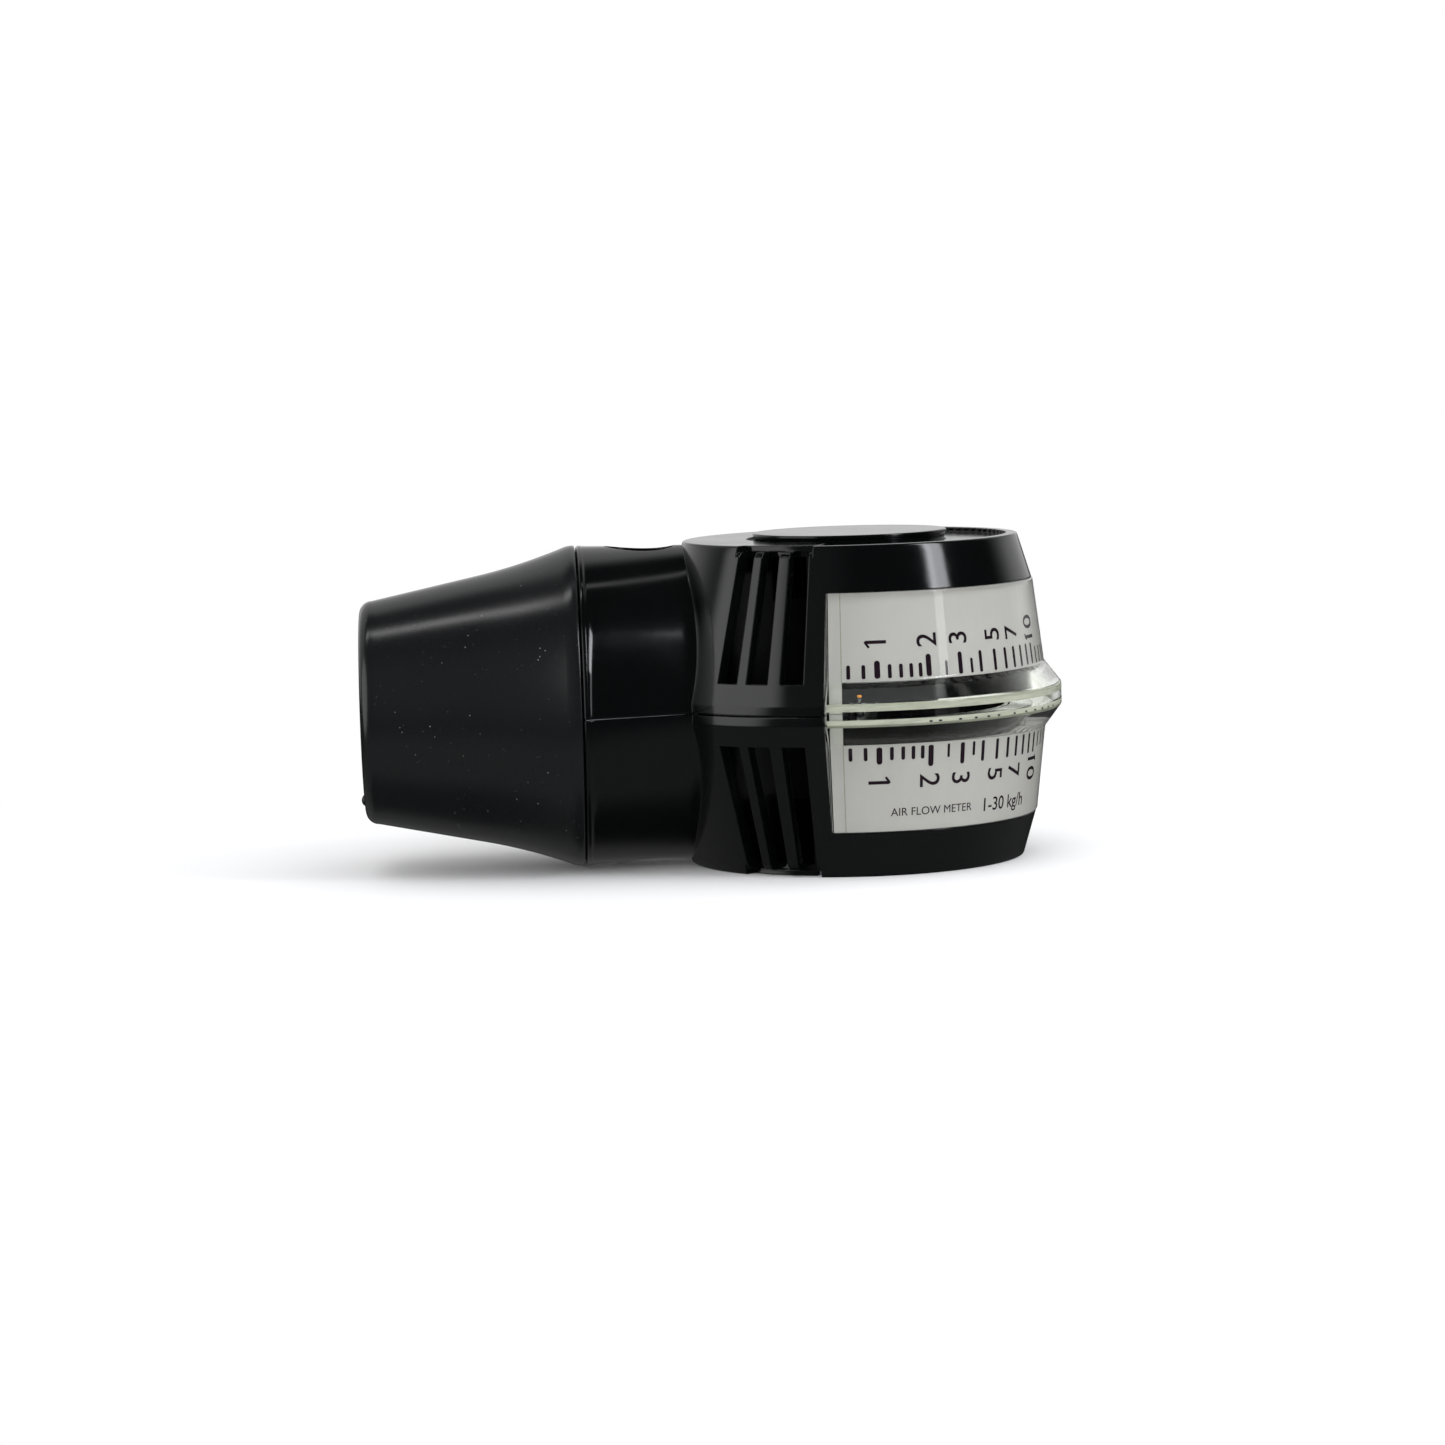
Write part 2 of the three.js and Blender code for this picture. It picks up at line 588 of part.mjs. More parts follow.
function addBalance() {
  const along = ([x0, x1], radius, steps) => solid(
    new THREE.CylinderGeometry(radius, radius, x1 - x0, steps)
      .rotateZ(Math.PI / 2).translate((x0 + x1) / 2, 0, BALANCE_Z));
  const shaftEye = ring(SHAFT_R + GAP, 3.4, BALANCE_Z - 1.4, BALANCE_Z + 1.4, 24);
  const rodPart = along([3, 19], 0.7, 12);
  addPiece('balance_arm', turnedTo(shaftEye.add(rodPart), REST_AZ + 180), STEEL);
  const weight = (span, radius, steps) => along(span, radius, steps)
    .subtract(along([span[0] - 1, span[1] + 1], 0.7 + GAP, 12));
  addPiece('counterweight', turnedTo(weight([9, 15], 2.3, 24), REST_AZ + 180), BRASS);
  addPiece('balance_nut', turnedTo(weight([15.4, 17], 1.9, 6), REST_AZ + 180), BRASS);
}

function addCollet() {
  addPiece('spring_collet',
    ring(SHAFT_R + GAP, SPRING_INNER_R - 0.5, SPRING_Z - 0.8, SPRING_Z + 0.8, 24), BRASS);
}

// ---- rubber cone --------------------------------------------------------------------------

// Outer side of the cone: an even taper that bells out a little towards the neck.
function coneRadius(x) {
  const taper = 0.205;
  const bellStart = -80;
  const bell = x > bellStart ? 0.0048 * (x - bellStart) ** 2 : 0;
  const fromMouth = x - MOUTH_X;
  return MOUTH_R + 0.2 + taper * (fromMouth - MOUTH_ROUND) + bell;
}

function addRubberCone() {
  const backX = NECK_END_X - GAP;
  const sideSteps = 6;
  const sideStart = MOUTH_X + MOUTH_ROUND;
  const side = Array.from({ length: sideSteps + 1 }, (_, i) => {
    const x = sideStart + (backX - 2.4 - sideStart) * i / sideSteps;
    return [coneRadius(x), x];
  });
  const roundSteps = 3;
  const rounding = Array.from({ length: roundSteps }, (_, i) => {
    const turn = (Math.PI / 2) * i / roundSteps;
    return [coneRadius(sideStart) - MOUTH_ROUND + MOUTH_ROUND * Math.sin(turn),
      sideStart - MOUTH_ROUND * Math.cos(turn)];
  });
  const inside = [[SPIGOT_R + GAP, backX], [SPIGOT_R + GAP, SPIGOT_END_X - GAP],
    [SPIGOT_R - 1.6, SPIGOT_END_X - 1.5], [MOUTH_BORE_R + 2.4, MOUTH_X + 11],
    [MOUTH_BORE_R, MOUTH_X + 5]];
  const outline = [[MOUTH_BORE_R, MOUTH_X], ...rounding, ...side,
    [NECK_END_R, backX - 0.4], [NECK_END_R - 0.4, backX], ...inside];
  addPiece('rubber_cone', turnedAlongNeck([...outline, outline[0]]), BLACK_RUBBER);
}

// ---- assembly -----------------------------------------------------------------------------

addHousing();
addTopDisc();
addSealRing();
addHousingScrews();
addWindow();
addScaleStrips();
addBearings();
addHairspring();
addStops();
addPartition();
addScrolls();
addShaft();
addVane();
addPointer();
addBalance();
addCollet();
addRubberCone();

export default group;
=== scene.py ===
"""A hand-held air-flow meter for carburettors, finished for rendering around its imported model.

Sizes are in millimetres, in the model's own frame: +Z up, the head's axis at the origin, the neck
and the rubber cone along -X. Azimuths are in degrees, counter-clockwise from above, from +X.
"""
import json
import math

import bmesh
import bpy
from mathutils import Matrix, Vector


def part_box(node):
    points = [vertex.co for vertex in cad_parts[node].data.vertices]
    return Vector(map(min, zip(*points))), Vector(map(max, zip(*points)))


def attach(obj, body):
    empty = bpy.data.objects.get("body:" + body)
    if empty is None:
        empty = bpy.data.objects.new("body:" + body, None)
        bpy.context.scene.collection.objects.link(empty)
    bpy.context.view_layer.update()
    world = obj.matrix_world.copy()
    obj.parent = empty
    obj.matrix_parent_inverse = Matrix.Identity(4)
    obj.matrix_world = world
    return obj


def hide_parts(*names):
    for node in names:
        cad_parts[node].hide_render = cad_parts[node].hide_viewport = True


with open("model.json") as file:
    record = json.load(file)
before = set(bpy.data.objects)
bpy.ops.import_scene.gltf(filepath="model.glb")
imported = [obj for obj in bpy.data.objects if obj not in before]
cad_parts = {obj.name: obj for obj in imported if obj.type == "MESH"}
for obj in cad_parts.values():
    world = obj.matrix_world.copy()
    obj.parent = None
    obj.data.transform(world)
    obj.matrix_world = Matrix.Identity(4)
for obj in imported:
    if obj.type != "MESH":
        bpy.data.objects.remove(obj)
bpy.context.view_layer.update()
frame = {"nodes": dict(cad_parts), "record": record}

MM = 0.001                       # one millimetre, in Blender's metres
TOP_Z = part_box("upper_housing")[1].z / MM
SEAM_Z = TOP_Z / 2

# ---- sizes --------------------------------------------------------------------------------

FACE_R = 35.8                    # the head's upper and lower faces
RIM_R = 45.6                     # the head's widest place, at the seam
BAND = 2.1                       # half height of the upright band at the seam
EDGE_ROUND = 0.5
WALL = 2.4
SEAM_GAP = 0.3
FLASH_HALF = 0.05                # half thickness of the flash in the neck's seam
FLASH_END_X = -37.5

CHAMBER_R = 33.6
WINDOW_HALF_ANGLE = 102.5
WINDOW_HALF_HEIGHT = 24.8
WINDOW_EDGE_R = 38.9
WINDOW_FOOT_R = 41.0
WINDOW_FOOT = 7.0                # offset from the seam where the ridge rises
RIDGE_R = 44.6
RIDGE_CROWN = 2.26               # half height of the ridge's crown
SEAT_R = 38.6                    # wall behind the scale, at the seam
SEAT_SLOPE = 0.11
STRIP_INNER = 0.3                # the card's back, from the wall behind it
STRIP_OUTER = 1.15               # its printed face, in contact with the cover
STRIP_NEAR = WINDOW_FOOT - 1.0   # its edges, from the seam
STRIP_FAR = WINDOW_HALF_HEIGHT - 0.1
STRIP_REACH = WINDOW_HALF_ANGLE - 0.5
TAB_DEG = 3.8                    # the card's end tabs reach the seam
WINDOW_INNER = 1.1               # the cover's inner face, from the wall behind the card
POINTER_SLOT = 2.0               # half height of the slot that the pointer runs in

SLOT_CENTRES = (229.1, 238.5, 248.6)
SLOT_DEG = 6.5
SLOT_NEAR = 6.5
SLOT_FAR = 33.3
STEP_FROM = 224.5                # the faces' edges step in over the slots
STEP_TO = 253.0
STEP_R = 33.4
STEP_DEPTH = 1.3

NECK_END_X = -58.8
NECK_END_R = 34.3
WAIST_X = -36.0
WAIST_HALF_WIDTH = 27.8
WAIST_HALF_HEIGHT = 33.8
WAIST_POWER = 1.7
NECK_INNER_X = -22.0
NECK_WALL = 3.0
SPIGOT_R = 28.0
SPIGOT_BORE_R = 25.2
SPIGOT_END_X = -70.0
HOLLOW_X = -45.2
HOLLOW_HALF_LENGTH = 7.6
HOLLOW_HALF_WIDTH = 5.5
HOLLOW_DEPTH = 2.6

DISC_R = 20.8
DISC_TOP_Z = TOP_Z + 1.25
DISC_GROOVE_R = 22.2
DISC_GROOVE_DEPTH = 0.7
RECESS_R = 33.6
RECESS_DEPTH = 1.0
RECESS_HALF_ANGLE = 106.0

MOUTH_X = -105.4
MOUTH_R = 23.9
MOUTH_ROUND = 2.7
MOUTH_BORE_R = 17.5
NUB_DROP = 18.8                  # the nub on the rim, below the neck's axis

REST_AZ = 267.0
FULL_AZ = REST_AZ + 145.0

CAMERA_TARGET = (-28.44, 0.0, 29.78)
CAMERA_DISTANCE = 913.9
CAMERA_YAW = 2.878               # degrees towards the cone's side
CAMERA_RISE = 5.545
CAMERA_ROLL = 1.705
LENS = 105.84                    # for a sensor 36 mm wide

FINE = 256                       # facets round a visible turned shape
COARSE = 96                      # facets round a hidden one


# ---- outlines -----------------------------------------------------------------------------

def rounded(points, steps=6):
    """A closed outline from (x, y, corner radius) points, with an arc at each rounded corner."""
    outline = []
    count = len(points)
    for i, (x, y, radius) in enumerate(points):
        corner = Vector((x, y))
        if radius == 0:
            outline.append((x, y))
            continue
        before = (Vector(points[i - 1][:2]) - corner).normalized()
        after = (Vector(points[(i + 1) % count][:2]) - corner).normalized()
        half = before.angle(after) / 2
        centre = corner + (before + after).normalized() * (radius / math.sin(half))
        start = corner + before * (radius / math.tan(half)) - centre
        end = corner + after * (radius / math.tan(half)) - centre
        for k in range(steps + 1):
            spoke = start.lerp(end, k / steps).normalized() * radius
            outline.append(tuple(centre + spoke))
    return outline


def subdivided(outline, longest):
    """The same closed outline with no side longer than a length, except on the axis."""
    result = []
    for i, (x0, y0) in enumerate(outline):
        x1, y1 = outline[(i + 1) % len(outline)]
        on_axis = x0 == 0 and x1 == 0
        pieces = 1 if on_axis else max(1, math.ceil(math.hypot(x1 - x0, y1 - y0) / longest))
        for k in range(pieces):
            result.append((x0 + (x1 - x0) * k / pieces, y0 + (y1 - y0) * k / pieces))
    return result


def on_circle(radius, azimuth):
    angle = math.radians(azimuth)
    return radius * math.cos(angle), radius * math.sin(angle)


# ---- meshes -------------------------------------------------------------------------------

def new_piece(name, vertices, faces):
    """An object from millimetre vertices, with its faces turned outwards."""
    mesh = bpy.data.meshes.new(name)
    mesh.from_pydata([Vector(v) * MM for v in vertices], [], faces)
    shape = bmesh.new()
    shape.from_mesh(mesh)
    bmesh.ops.recalc_face_normals(shape, faces=shape.faces)
    shape.to_mesh(mesh)
    shape.free()
    piece = bpy.data.objects.new(name, mesh)
    bpy.context.scene.collection.objects.link(piece)
    return piece


def turned(name, outline, steps=FINE, arc=None, along_neck=False):
    """A closed (radius, height) outline turned about Z, or about the neck's axis."""
    start, end = arc or (0.0, 360.0)
    rows = steps + 1 if arc else steps
    vertices = []
    index = {}
    for i in range(rows):
        azimuth = start + (end - start) * i / steps
        for k, (radius, height) in enumerate(outline):
            if radius == 0 and i > 0:
                index[i, k] = index[0, k]
                continue
            index[i, k] = len(vertices)
            x, y = on_circle(radius, azimuth)
            vertices.append((height, x, y + SEAM_Z) if along_neck else (x, y, height))
    faces = []
    for i in range(steps):
        j = (i + 1) % rows
        for k in range(len(outline)):
            m = (k + 1) % len(outline)
            corners = [index[i, k], index[j, k], index[j, m], index[i, m]]
            face = list(dict.fromkeys(corners))
            if len(face) > 2:
                faces.append(face)
    if arc:
        faces.append([index[0, k] for k in range(len(outline))])
        faces.append([index[rows - 1, k] for k in reversed(range(len(outline)))])
    return new_piece(name, vertices, faces)


def lofted(name, loops):
    """A form through loops of equally many points, closed at both ends."""
    count = len(loops[0])
    vertices = [point for loop in loops for point in loop]
    faces = [list(range(count)), list(range(len(vertices) - count, len(vertices)))]
    for i in range(len(loops) - 1):
        start = i * count
        for k in range(count):
            m = (k + 1) % count
            faces.append([start + k, start + m, start + count + m, start + count + k])
    return new_piece(name, vertices, faces)


def prism(name, outline, low, high):
    """An (x, y) outline raised from one height to another."""
    return lofted(name, [[(x, y, z) for x, y in outline] for z in (low, high)])


def sector(start, end, radius=90.0, low=-10.0, high=90.0):
    """A slice of a pie between two azimuths, for cutting."""
    steps = max(2, math.ceil((end - start) / 6))
    rim = [on_circle(radius, start + (end - start) * k / steps) for k in range(steps + 1)]
    return prism("cutter", [(0.0, 0.0), *rim], low, high)


def apply_modifiers(piece):
    """Makes a piece's modifiers part of its mesh."""
    graph = bpy.context.evaluated_depsgraph_get()
    mesh = bpy.data.meshes.new_from_object(piece.evaluated_get(graph))
    old = piece.data
    piece.modifiers.clear()
    piece.data = mesh
    bpy.data.meshes.remove(old)


def combine(piece, others, operation):
    """Joins the others to a piece, or cuts them from it, and removes them."""
    for other in others:
        modifier = piece.modifiers.new("combine", "BOOLEAN")
        modifier.operation = operation
        modifier.solver = "MANIFOLD"
        modifier.object = other
    apply_modifiers(piece)
    for other in others:
        mesh = other.data
        bpy.data.objects.remove(other)
        bpy.data.meshes.remove(mesh)
    return piece


def joined(piece, *others):
    return combine(piece, others, "UNION")


def cut(piece, *others):
    return combine(piece, others, "DIFFERENCE")


def kept(piece, *others):
    return combine(piece, others, "INTERSECT")


def mirrored(piece):
    """A copy of a piece, mirrored at the seam."""
    vertices = [(v.co.x / MM, v.co.y / MM, 2 * SEAM_Z - v.co.z / MM) for v in piece.data.vertices]
    return new_piece("mirrored", vertices, [list(p.vertices) for p in piece.data.polygons])


def smooth(piece, angle=32.0):
    """Smooth shading, with the edges sharper than an angle kept crisp."""
    piece.data.shade_smooth()
    piece.data.set_sharp_from_angle(angle=math.radians(angle))
    return piece


def finish_piece(piece, name, body, material, slot, *replaced):
    """Names a piece, gives it its material and its body, and hides the model's nodes it stands for.
    """
    piece.name = name
    piece.data.name = name
    piece.data.materials.clear()
    piece.data.materials.append(material)
    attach(piece, body)
    if replaced:
        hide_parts(*replaced)
    return piece


# ---- materials ----------------------------------------------------------------------------

class Tree:
    """Short calls for building a node tree."""

    interpolation = "LINEAR"

    def __init__(self, tree):
        self.tree = tree

    def add(self, kind, **settings):
        node = self.tree.nodes.new(kind)
        for key, value in settings.items():
            setattr(node, key, value)
        return node

    def link(self, source, target):
        self.tree.links.new(source, target)

    def ranged(self, source, from_low, from_high, to_low, to_high):
        """A value moved from one range to another, and kept inside it."""
        node = self.add("ShaderNodeMapRange", interpolation_type=self.interpolation)
        for key, value in (("From Min", from_low), ("From Max", from_high),
                           ("To Min", to_low), ("To Max", to_high)):
            node.inputs[key].default_value = value
        self.link(source, node.inputs["Value"])
        return node.outputs["Result"]

    def math(self, operation, first, second):
        """A sum on two values, each a number or a socket."""
        node = self.add("ShaderNodeMath", operation=operation)
        for socket, value in zip(node.inputs, (first, second)):
            if isinstance(value, float):
                socket.default_value = value
            else:
                self.link(value, socket)
        return node.outputs["Value"]

    def product(self, *factors):
        result = factors[0]
        for factor in factors[1:]:
            result = self.math("MULTIPLY", result, factor)
        return result


class Nodes(Tree):
    """One material's node tree."""

    def __init__(self, name):
        self.material = bpy.data.materials.new(name)
        self.material.use_nodes = True
        super().__init__(self.material.node_tree)
        self.shader = self.tree.nodes["Principled BSDF"]
        self.output = self.tree.nodes["Material Output"]

    def noise(self, scale, detail=3.0, stretch=None):
        """Noise over the object, as a value from 0 to 1. stretch scales X, Y and Z apart."""
        place = self.add("ShaderNodeTexCoord")
        texture = self.add("ShaderNodeTexNoise")
        texture.inputs["Scale"].default_value = scale
        texture.inputs["Detail"].default_value = detail
        source = place.outputs["Object"]
        if stretch:
            mapping = self.add("ShaderNodeMapping")
            mapping.inputs["Scale"].default_value = stretch
            self.link(source, mapping.inputs["Vector"])
            source = mapping.outputs["Vector"]
        self.link(source, texture.inputs["Vector"])
        return texture.outputs["Fac"]

    def specks(self, scale, size):
        """Small round specks scattered over the object, 1 inside a speck."""
        place = self.add("ShaderNodeTexCoord")
        cells = self.add("ShaderNodeTexVoronoi")
        cells.inputs["Scale"].default_value = scale
        self.link(place.outputs["Object"], cells.inputs["Vector"])
        near = self.ranged(cells.outputs["Distance"], size, size * 0.6, 0.0, 1.0)
        chosen = self.ranged(self.noise(scale * 0.4, 0.0), 0.54, 0.58, 0.0, 1.0)
        return self.product(near, chosen)

    def mixed(self, factor, first, second):
        """A colour between two, each an (r, g, b) or a socket."""
        node = self.add("ShaderNodeMix", data_type="RGBA")
        self.link(factor, node.inputs["Factor"])
        colours = [s for s in node.inputs if s.type == "RGBA"]
        for socket, colour in zip(colours, (first, second)):
            if isinstance(colour, tuple):
                socket.default_value = (*colour, 1.0)
            else:
                self.link(colour, socket)
        return next(s for s in node.outputs if s.type == "RGBA")

    def bump(self, height, strength, distance=0.0001, normal=None):
        node = self.add("ShaderNodeBump")
        node.inputs["Strength"].default_value = strength
        node.inputs["Distance"].default_value = distance
        self.link(height, node.inputs["Height"])
        if normal is not None:
            self.link(normal, node.inputs["Normal"])
        return node.outputs["Normal"]

    def soft_edges(self, radius):
        node = self.add("ShaderNodeBevel", samples=6)
        node.inputs["Radius"].default_value = radius
        return node.outputs["Normal"]

    def shade(self, factor, first, second):
        """Shows one shader or another by a factor."""
        choose = self.add("ShaderNodeMixShader")
        self.link(factor, choose.inputs["Fac"])
        self.link(first.outputs[0], choose.inputs[1])
        self.link(second.outputs[0], choose.inputs[2])
        self.link(choose.outputs["Shader"], self.output.inputs["Surface"])
        return self.material

    def set(self, **values):
        for key, value in values.items():
            socket = self.shader.inputs[key.replace("_", " ")]
            if isinstance(value, bpy.types.NodeSocket):
                self.link(value, socket)
            else:
                socket.default_value = value
        return self.material


def black_gloss():
    """Moulded black plastic: glossy, with faint clouding and handling marks."""
    n = Nodes("black_gloss_plastic")
    cloud = n.noise(45, 4)
    rub = n.noise(400, 6)
    colour = n.mixed(cloud, (0.0012, 0.0015, 0.0015), (0.0020, 0.0024, 0.0025))
    grain = n.bump(n.noise(6000, 2), 0.05, 0.00002, n.soft_edges(0.4 * MM))
    roughness = n.math("ADD", n.ranged(cloud, 0.3, 0.7, 0.07, 0.12),
                       n.ranged(rub, 0.35, 0.75, 0.0, 0.03))
    return n.set(Base_Color=colour, Roughness=roughness, Normal=grain, IOR=1.5)


def black_rubber():
    """Satin black rubber with a soft bloom, fine grain and specks of dust."""
    n = Nodes("black_rubber")
    bloom = n.noise(30, 5)
    dust = n.specks(420, 0.072)
    fine_dust = n.specks(900, 0.1)
    base = n.mixed(bloom, (0.0045, 0.0051, 0.0053), (0.0068, 0.0077, 0.0078))
    base = n.mixed(fine_dust, base, (0.05, 0.052, 0.055))
    base = n.mixed(dust, base, (0.13, 0.135, 0.14))
    roughness = n.ranged(bloom, 0.3, 0.7, 0.17, 0.22)
    grain = n.bump(n.noise(5200, 3), 0.16, 0.00004, n.soft_edges(0.3 * MM))
    return n.set(Base_Color=base, Roughness=roughness, Normal=grain, IOR=1.5)


def clear_plastic():
    """Clear acrylic with a slight green cast. Lamps shine through it onto the scale."""
    n = Nodes("clear_plastic")
    smears = n.noise(120, 4, (1, 1, 3))
    n.set(Base_Color=(0.965, 0.985, 0.94, 1.0), IOR=1.49,
          Roughness=n.ranged(smears, 0.4, 0.8, 0.035, 0.07))
    n.shader.inputs["Transmission Weight"].default_value = 1.0
    through = n.add("ShaderNodeBsdfTransparent")
    through.inputs["Color"].default_value = (0.93, 0.95, 0.9, 1.0)
    rays = n.add("ShaderNodeLightPath")
    return n.shade(rays.outputs["Is Shadow Ray"], n.shader, through)


def scuffed_flash():
    """The thin line of flash in the neck's seam, with a broken grey painted highlight along it."""
    n = Nodes("scuffed_flash")
    highlight_mask = n.ranged(n.noise(70, 3), 0.35, 0.65, 0.0, 1.0)
    return n.set(Base_Color=n.mixed(highlight_mask, (0.02, 0.02, 0.023), (0.15, 0.15, 0.16)), Roughness=0.4)


def lit_edge():
    """Painted highlight for a polished plastic edge: a pale colour, streaked along it and partly
    see-through, that stands in for the light of the card which the edge carries.
    """
    n = Nodes("lit_edge")
    streaks = n.noise(160, 4, (1, 1, 6))
    base = n.mixed(streaks, (0.30, 0.32, 0.24), (0.46, 0.48, 0.39))
    n.set(Base_Color=base, Roughness=0.25)
    clear = n.add("ShaderNodeBsdfTransparent")
    return n.shade(n.ranged(streaks, 0.35, 0.7, 0.1, 0.5), n.shader, clear)


def scale_card():
    """Pale grey-green printed card with a faint fibre."""
    n = Nodes("scale_card")
    fibre = n.noise(900, 5, (1, 1, 0.25))
    tone = n.noise(40, 2)
    base = n.mixed(fibre, (0.42, 0.41, 0.40), (0.46, 0.45, 0.44))
    base = n.mixed(n.ranged(tone, 0.3, 0.7, 0.0, 0.35), base, (0.41, 0.4, 0.38))
    normal = n.bump(fibre, 0.08)
    return n.set(Base_Color=base, Roughness=0.6, Specular_IOR_Level=0.05, Normal=normal)


def scale_ink():
    """Dark violet-brown printing ink, slightly uneven."""
    n = Nodes("scale_ink")
    uneven = n.noise(1500, 3)
    base = n.mixed(uneven, (0.008, 0.003, 0.007), (0.016, 0.007, 0.013))
    return n.set(Base_Color=base, Roughness=0.5, Specular_IOR_Level=0.05)


def orange_plastic():
    n = Nodes("orange_plastic")
    base = n.mixed(n.noise(200, 3), (0.78, 0.27, 0.02), (0.86, 0.34, 0.04))
    return n.set(Base_Color=base, Roughness=0.35, Normal=n.bump(n.noise(3000, 2), 0.05))


def metal(name, dark, light, roughness, stretch):
    """Bare metal with fine tool marks along one direction."""
    n = Nodes(name)
    marks = n.noise(700, 5, stretch)
    tone = n.noise(90, 3)
    base = n.mixed(tone, dark, light)
    rough = n.ranged(marks, 0.3, 0.7, roughness - 0.06, roughness + 0.08)
    normal = n.bump(marks, 0.12, 0.00005, n.soft_edges(0.15 * MM))
    return n.set(Base_Color=base, Metallic=1.0, Roughness=rough, Normal=normal)


def floor_paper():
    """White paper that takes the meter's shadow and burns out to white away from it."""
    n = Nodes("floor_paper")
    base = n.mixed(n.noise(6, 3), (0.83, 0.83, 0.83), (0.86, 0.86, 0.86))
    n.set(Base_Color=base, Roughness=0.9)
    place = n.add("ShaderNodeTexCoord")
    length = n.add("ShaderNodeVectorMath", operation="LENGTH")
    n.link(place.outputs["Object"], length.inputs[0])
    lit = n.add("ShaderNodeEmission")
    lit.inputs["Color"].default_value = (1.0, 1.0, 1.0, 1.0)
    lit.inputs["Strength"].default_value = 1.0
    far = n.ranged(length.outputs["Value"], 0.13, 0.26, 0.0, 1.0)
    return n.shade(far, n.shader, lit)


MATERIALS = {
    "black_gloss_plastic": black_gloss(),
    "black_rubber": black_rubber(),
    "clear_plastic": clear_plastic(),
    "scale_card": scale_card(),
    "scale_ink": scale_ink(),
    "orange_plastic": orange_plastic(),
    "aluminium": metal("aluminium", (0.5, 0.51, 0.52), (0.64, 0.65, 0.66), 0.34, (1, 1, 12)),
    "brass": metal("brass", (0.46, 0.31, 0.1), (0.62, 0.45, 0.18), 0.28, (1, 1, 14)),
    "steel": metal("steel", (0.34, 0.35, 0.36), (0.5, 0.51, 0.52), 0.3, (1, 1, 14)),
}


# painted highlight, used for the ridge's crown edges and the cards' end lines
PAINTED_EDGE_HIGHLIGHT = lit_edge()
# painted highlight for the flash in the neck's seam
SEAM_FLASH_HIGHLIGHT = scuffed_flash()


def finish(piece, name, body, slot, *replaced):
    return finish_piece(piece, name, body, MATERIALS[slot], slot, *replaced)


# ---- housing ------------------------------------------------------------------------------

def mirrored_outline(upper):
    """Doubles an outline of (radius, offset, corner) points, listed from the seam outwards."""
    top = [(radius, SEAM_Z + offset, corner) for radius, offset, corner in upper]
    bottom = [(radius, SEAM_Z - offset, corner) for radius, offset, corner in reversed(upper)]
    return bottom + top


def drum(inset, corner, steps):
    """The head's form, drawn in by an inset."""
    half = SEAM_Z - inset
    outline = rounded(mirrored_outline([
        (RIM_R - inset, BAND, 0.8 if inset == 0 else 0), (FACE_R - inset, half, corner),
        (0.0, half, 0)]))
    return turned("drum", subdivided(outline, 1.5), steps)


def neck_section(x):
    """Half width, half height and superellipse power of the neck at x."""
    along = min(1.0, max(0.0, (x - NECK_END_X) / (WAIST_X - NECK_END_X)))
    half_width = NECK_END_R + (WAIST_HALF_WIDTH - NECK_END_R) * along
    half_height = NECK_END_R + (WAIST_HALF_HEIGHT - NECK_END_R) * math.sqrt(along)
    return half_width, half_height, 2.0 + (WAIST_POWER - 2.0) * along


def neck_bar(from_x, to_x, inset, steps, spacing=1.0):
    """A bar with the neck's section, less an inset, between two places along X."""
    rows = max(1, math.ceil(abs(to_x - from_x) / spacing))
    loops = []
    for i in range(rows + 1):
        x = from_x + (to_x - from_x) * i / rows
        half_width, half_height, power = neck_section(x)
        loop = []
        for k in range(steps):
            c, s = on_circle(1.0, 360.0 * k / steps)
            y = math.copysign(abs(c) ** (2 / power), c) * (half_width - inset)
            z = math.copysign(abs(s) ** (2 / power), s) * (half_height - inset)
            loop.append((x, y, SEAM_Z + z))
        loops.append(loop)
    return lofted("neck", loops)


def neck_form():
    """The neck, with the spigot that the cone is pushed on."""
    edge = 0.6
    end = rounded([
        (0.0, NECK_END_X + 3, 0), (NECK_END_R - 1.5, NECK_END_X + 3, 0),
        (NECK_END_R - 0.02, NECK_END_X + edge + 0.4, 0), (NECK_END_R - 0.02, NECK_END_X, edge),
        (SPIGOT_R, NECK_END_X, 0), (SPIGOT_R, SPIGOT_END_X, 0.5), (0.0, SPIGOT_END_X, 0)])
    spigot = turned("spigot", end, FINE, along_neck=True)
    return joined(neck_bar(NECK_END_X + edge, NECK_INNER_X, 0.0, FINE), spigot)


def neck_bore():
    """The air's way through the neck and the spigot."""
    shoulder = NECK_END_X + 4
    spigot_bore = turned("bore", [
        (0.0, shoulder + 4), (SPIGOT_BORE_R + 2, shoulder + 4), (SPIGOT_BORE_R, shoulder - 1),
        (SPIGOT_BORE_R, SPIGOT_END_X - 1), (0.0, SPIGOT_END_X - 1)], COARSE, along_neck=True)
    return joined(neck_bar(shoulder, NECK_INNER_X + 8, NECK_WALL, COARSE, 4.0), spigot_bore)


def ring(inner, outer, low, high, steps=FINE, arc=None):
    """A ring, or part of one, with a plain rectangular section."""
    return turned("ring", [(inner, low), (outer, low), (outer, high), (inner, high)], steps, arc)


def chamber():
    """The room for the vane. Away from the scale it reaches out to the head's wall."""
    bay = kept(drum(WALL, 0, COARSE),
               sector(WINDOW_HALF_ANGLE + 3, 360 - WINDOW_HALF_ANGLE - 3))
    tube = turned("chamber", [(0.0, WALL), (CHAMBER_R, WALL), (CHAMBER_R, TOP_Z - WALL),
                              (0.0, TOP_Z - WALL)], COARSE)
    return joined(tube, bay)


def seat_radius(offset):
    """The radius of the wall behind the scale, at an offset from the seam."""
    return SEAT_R - SEAT_SLOPE * abs(offset)


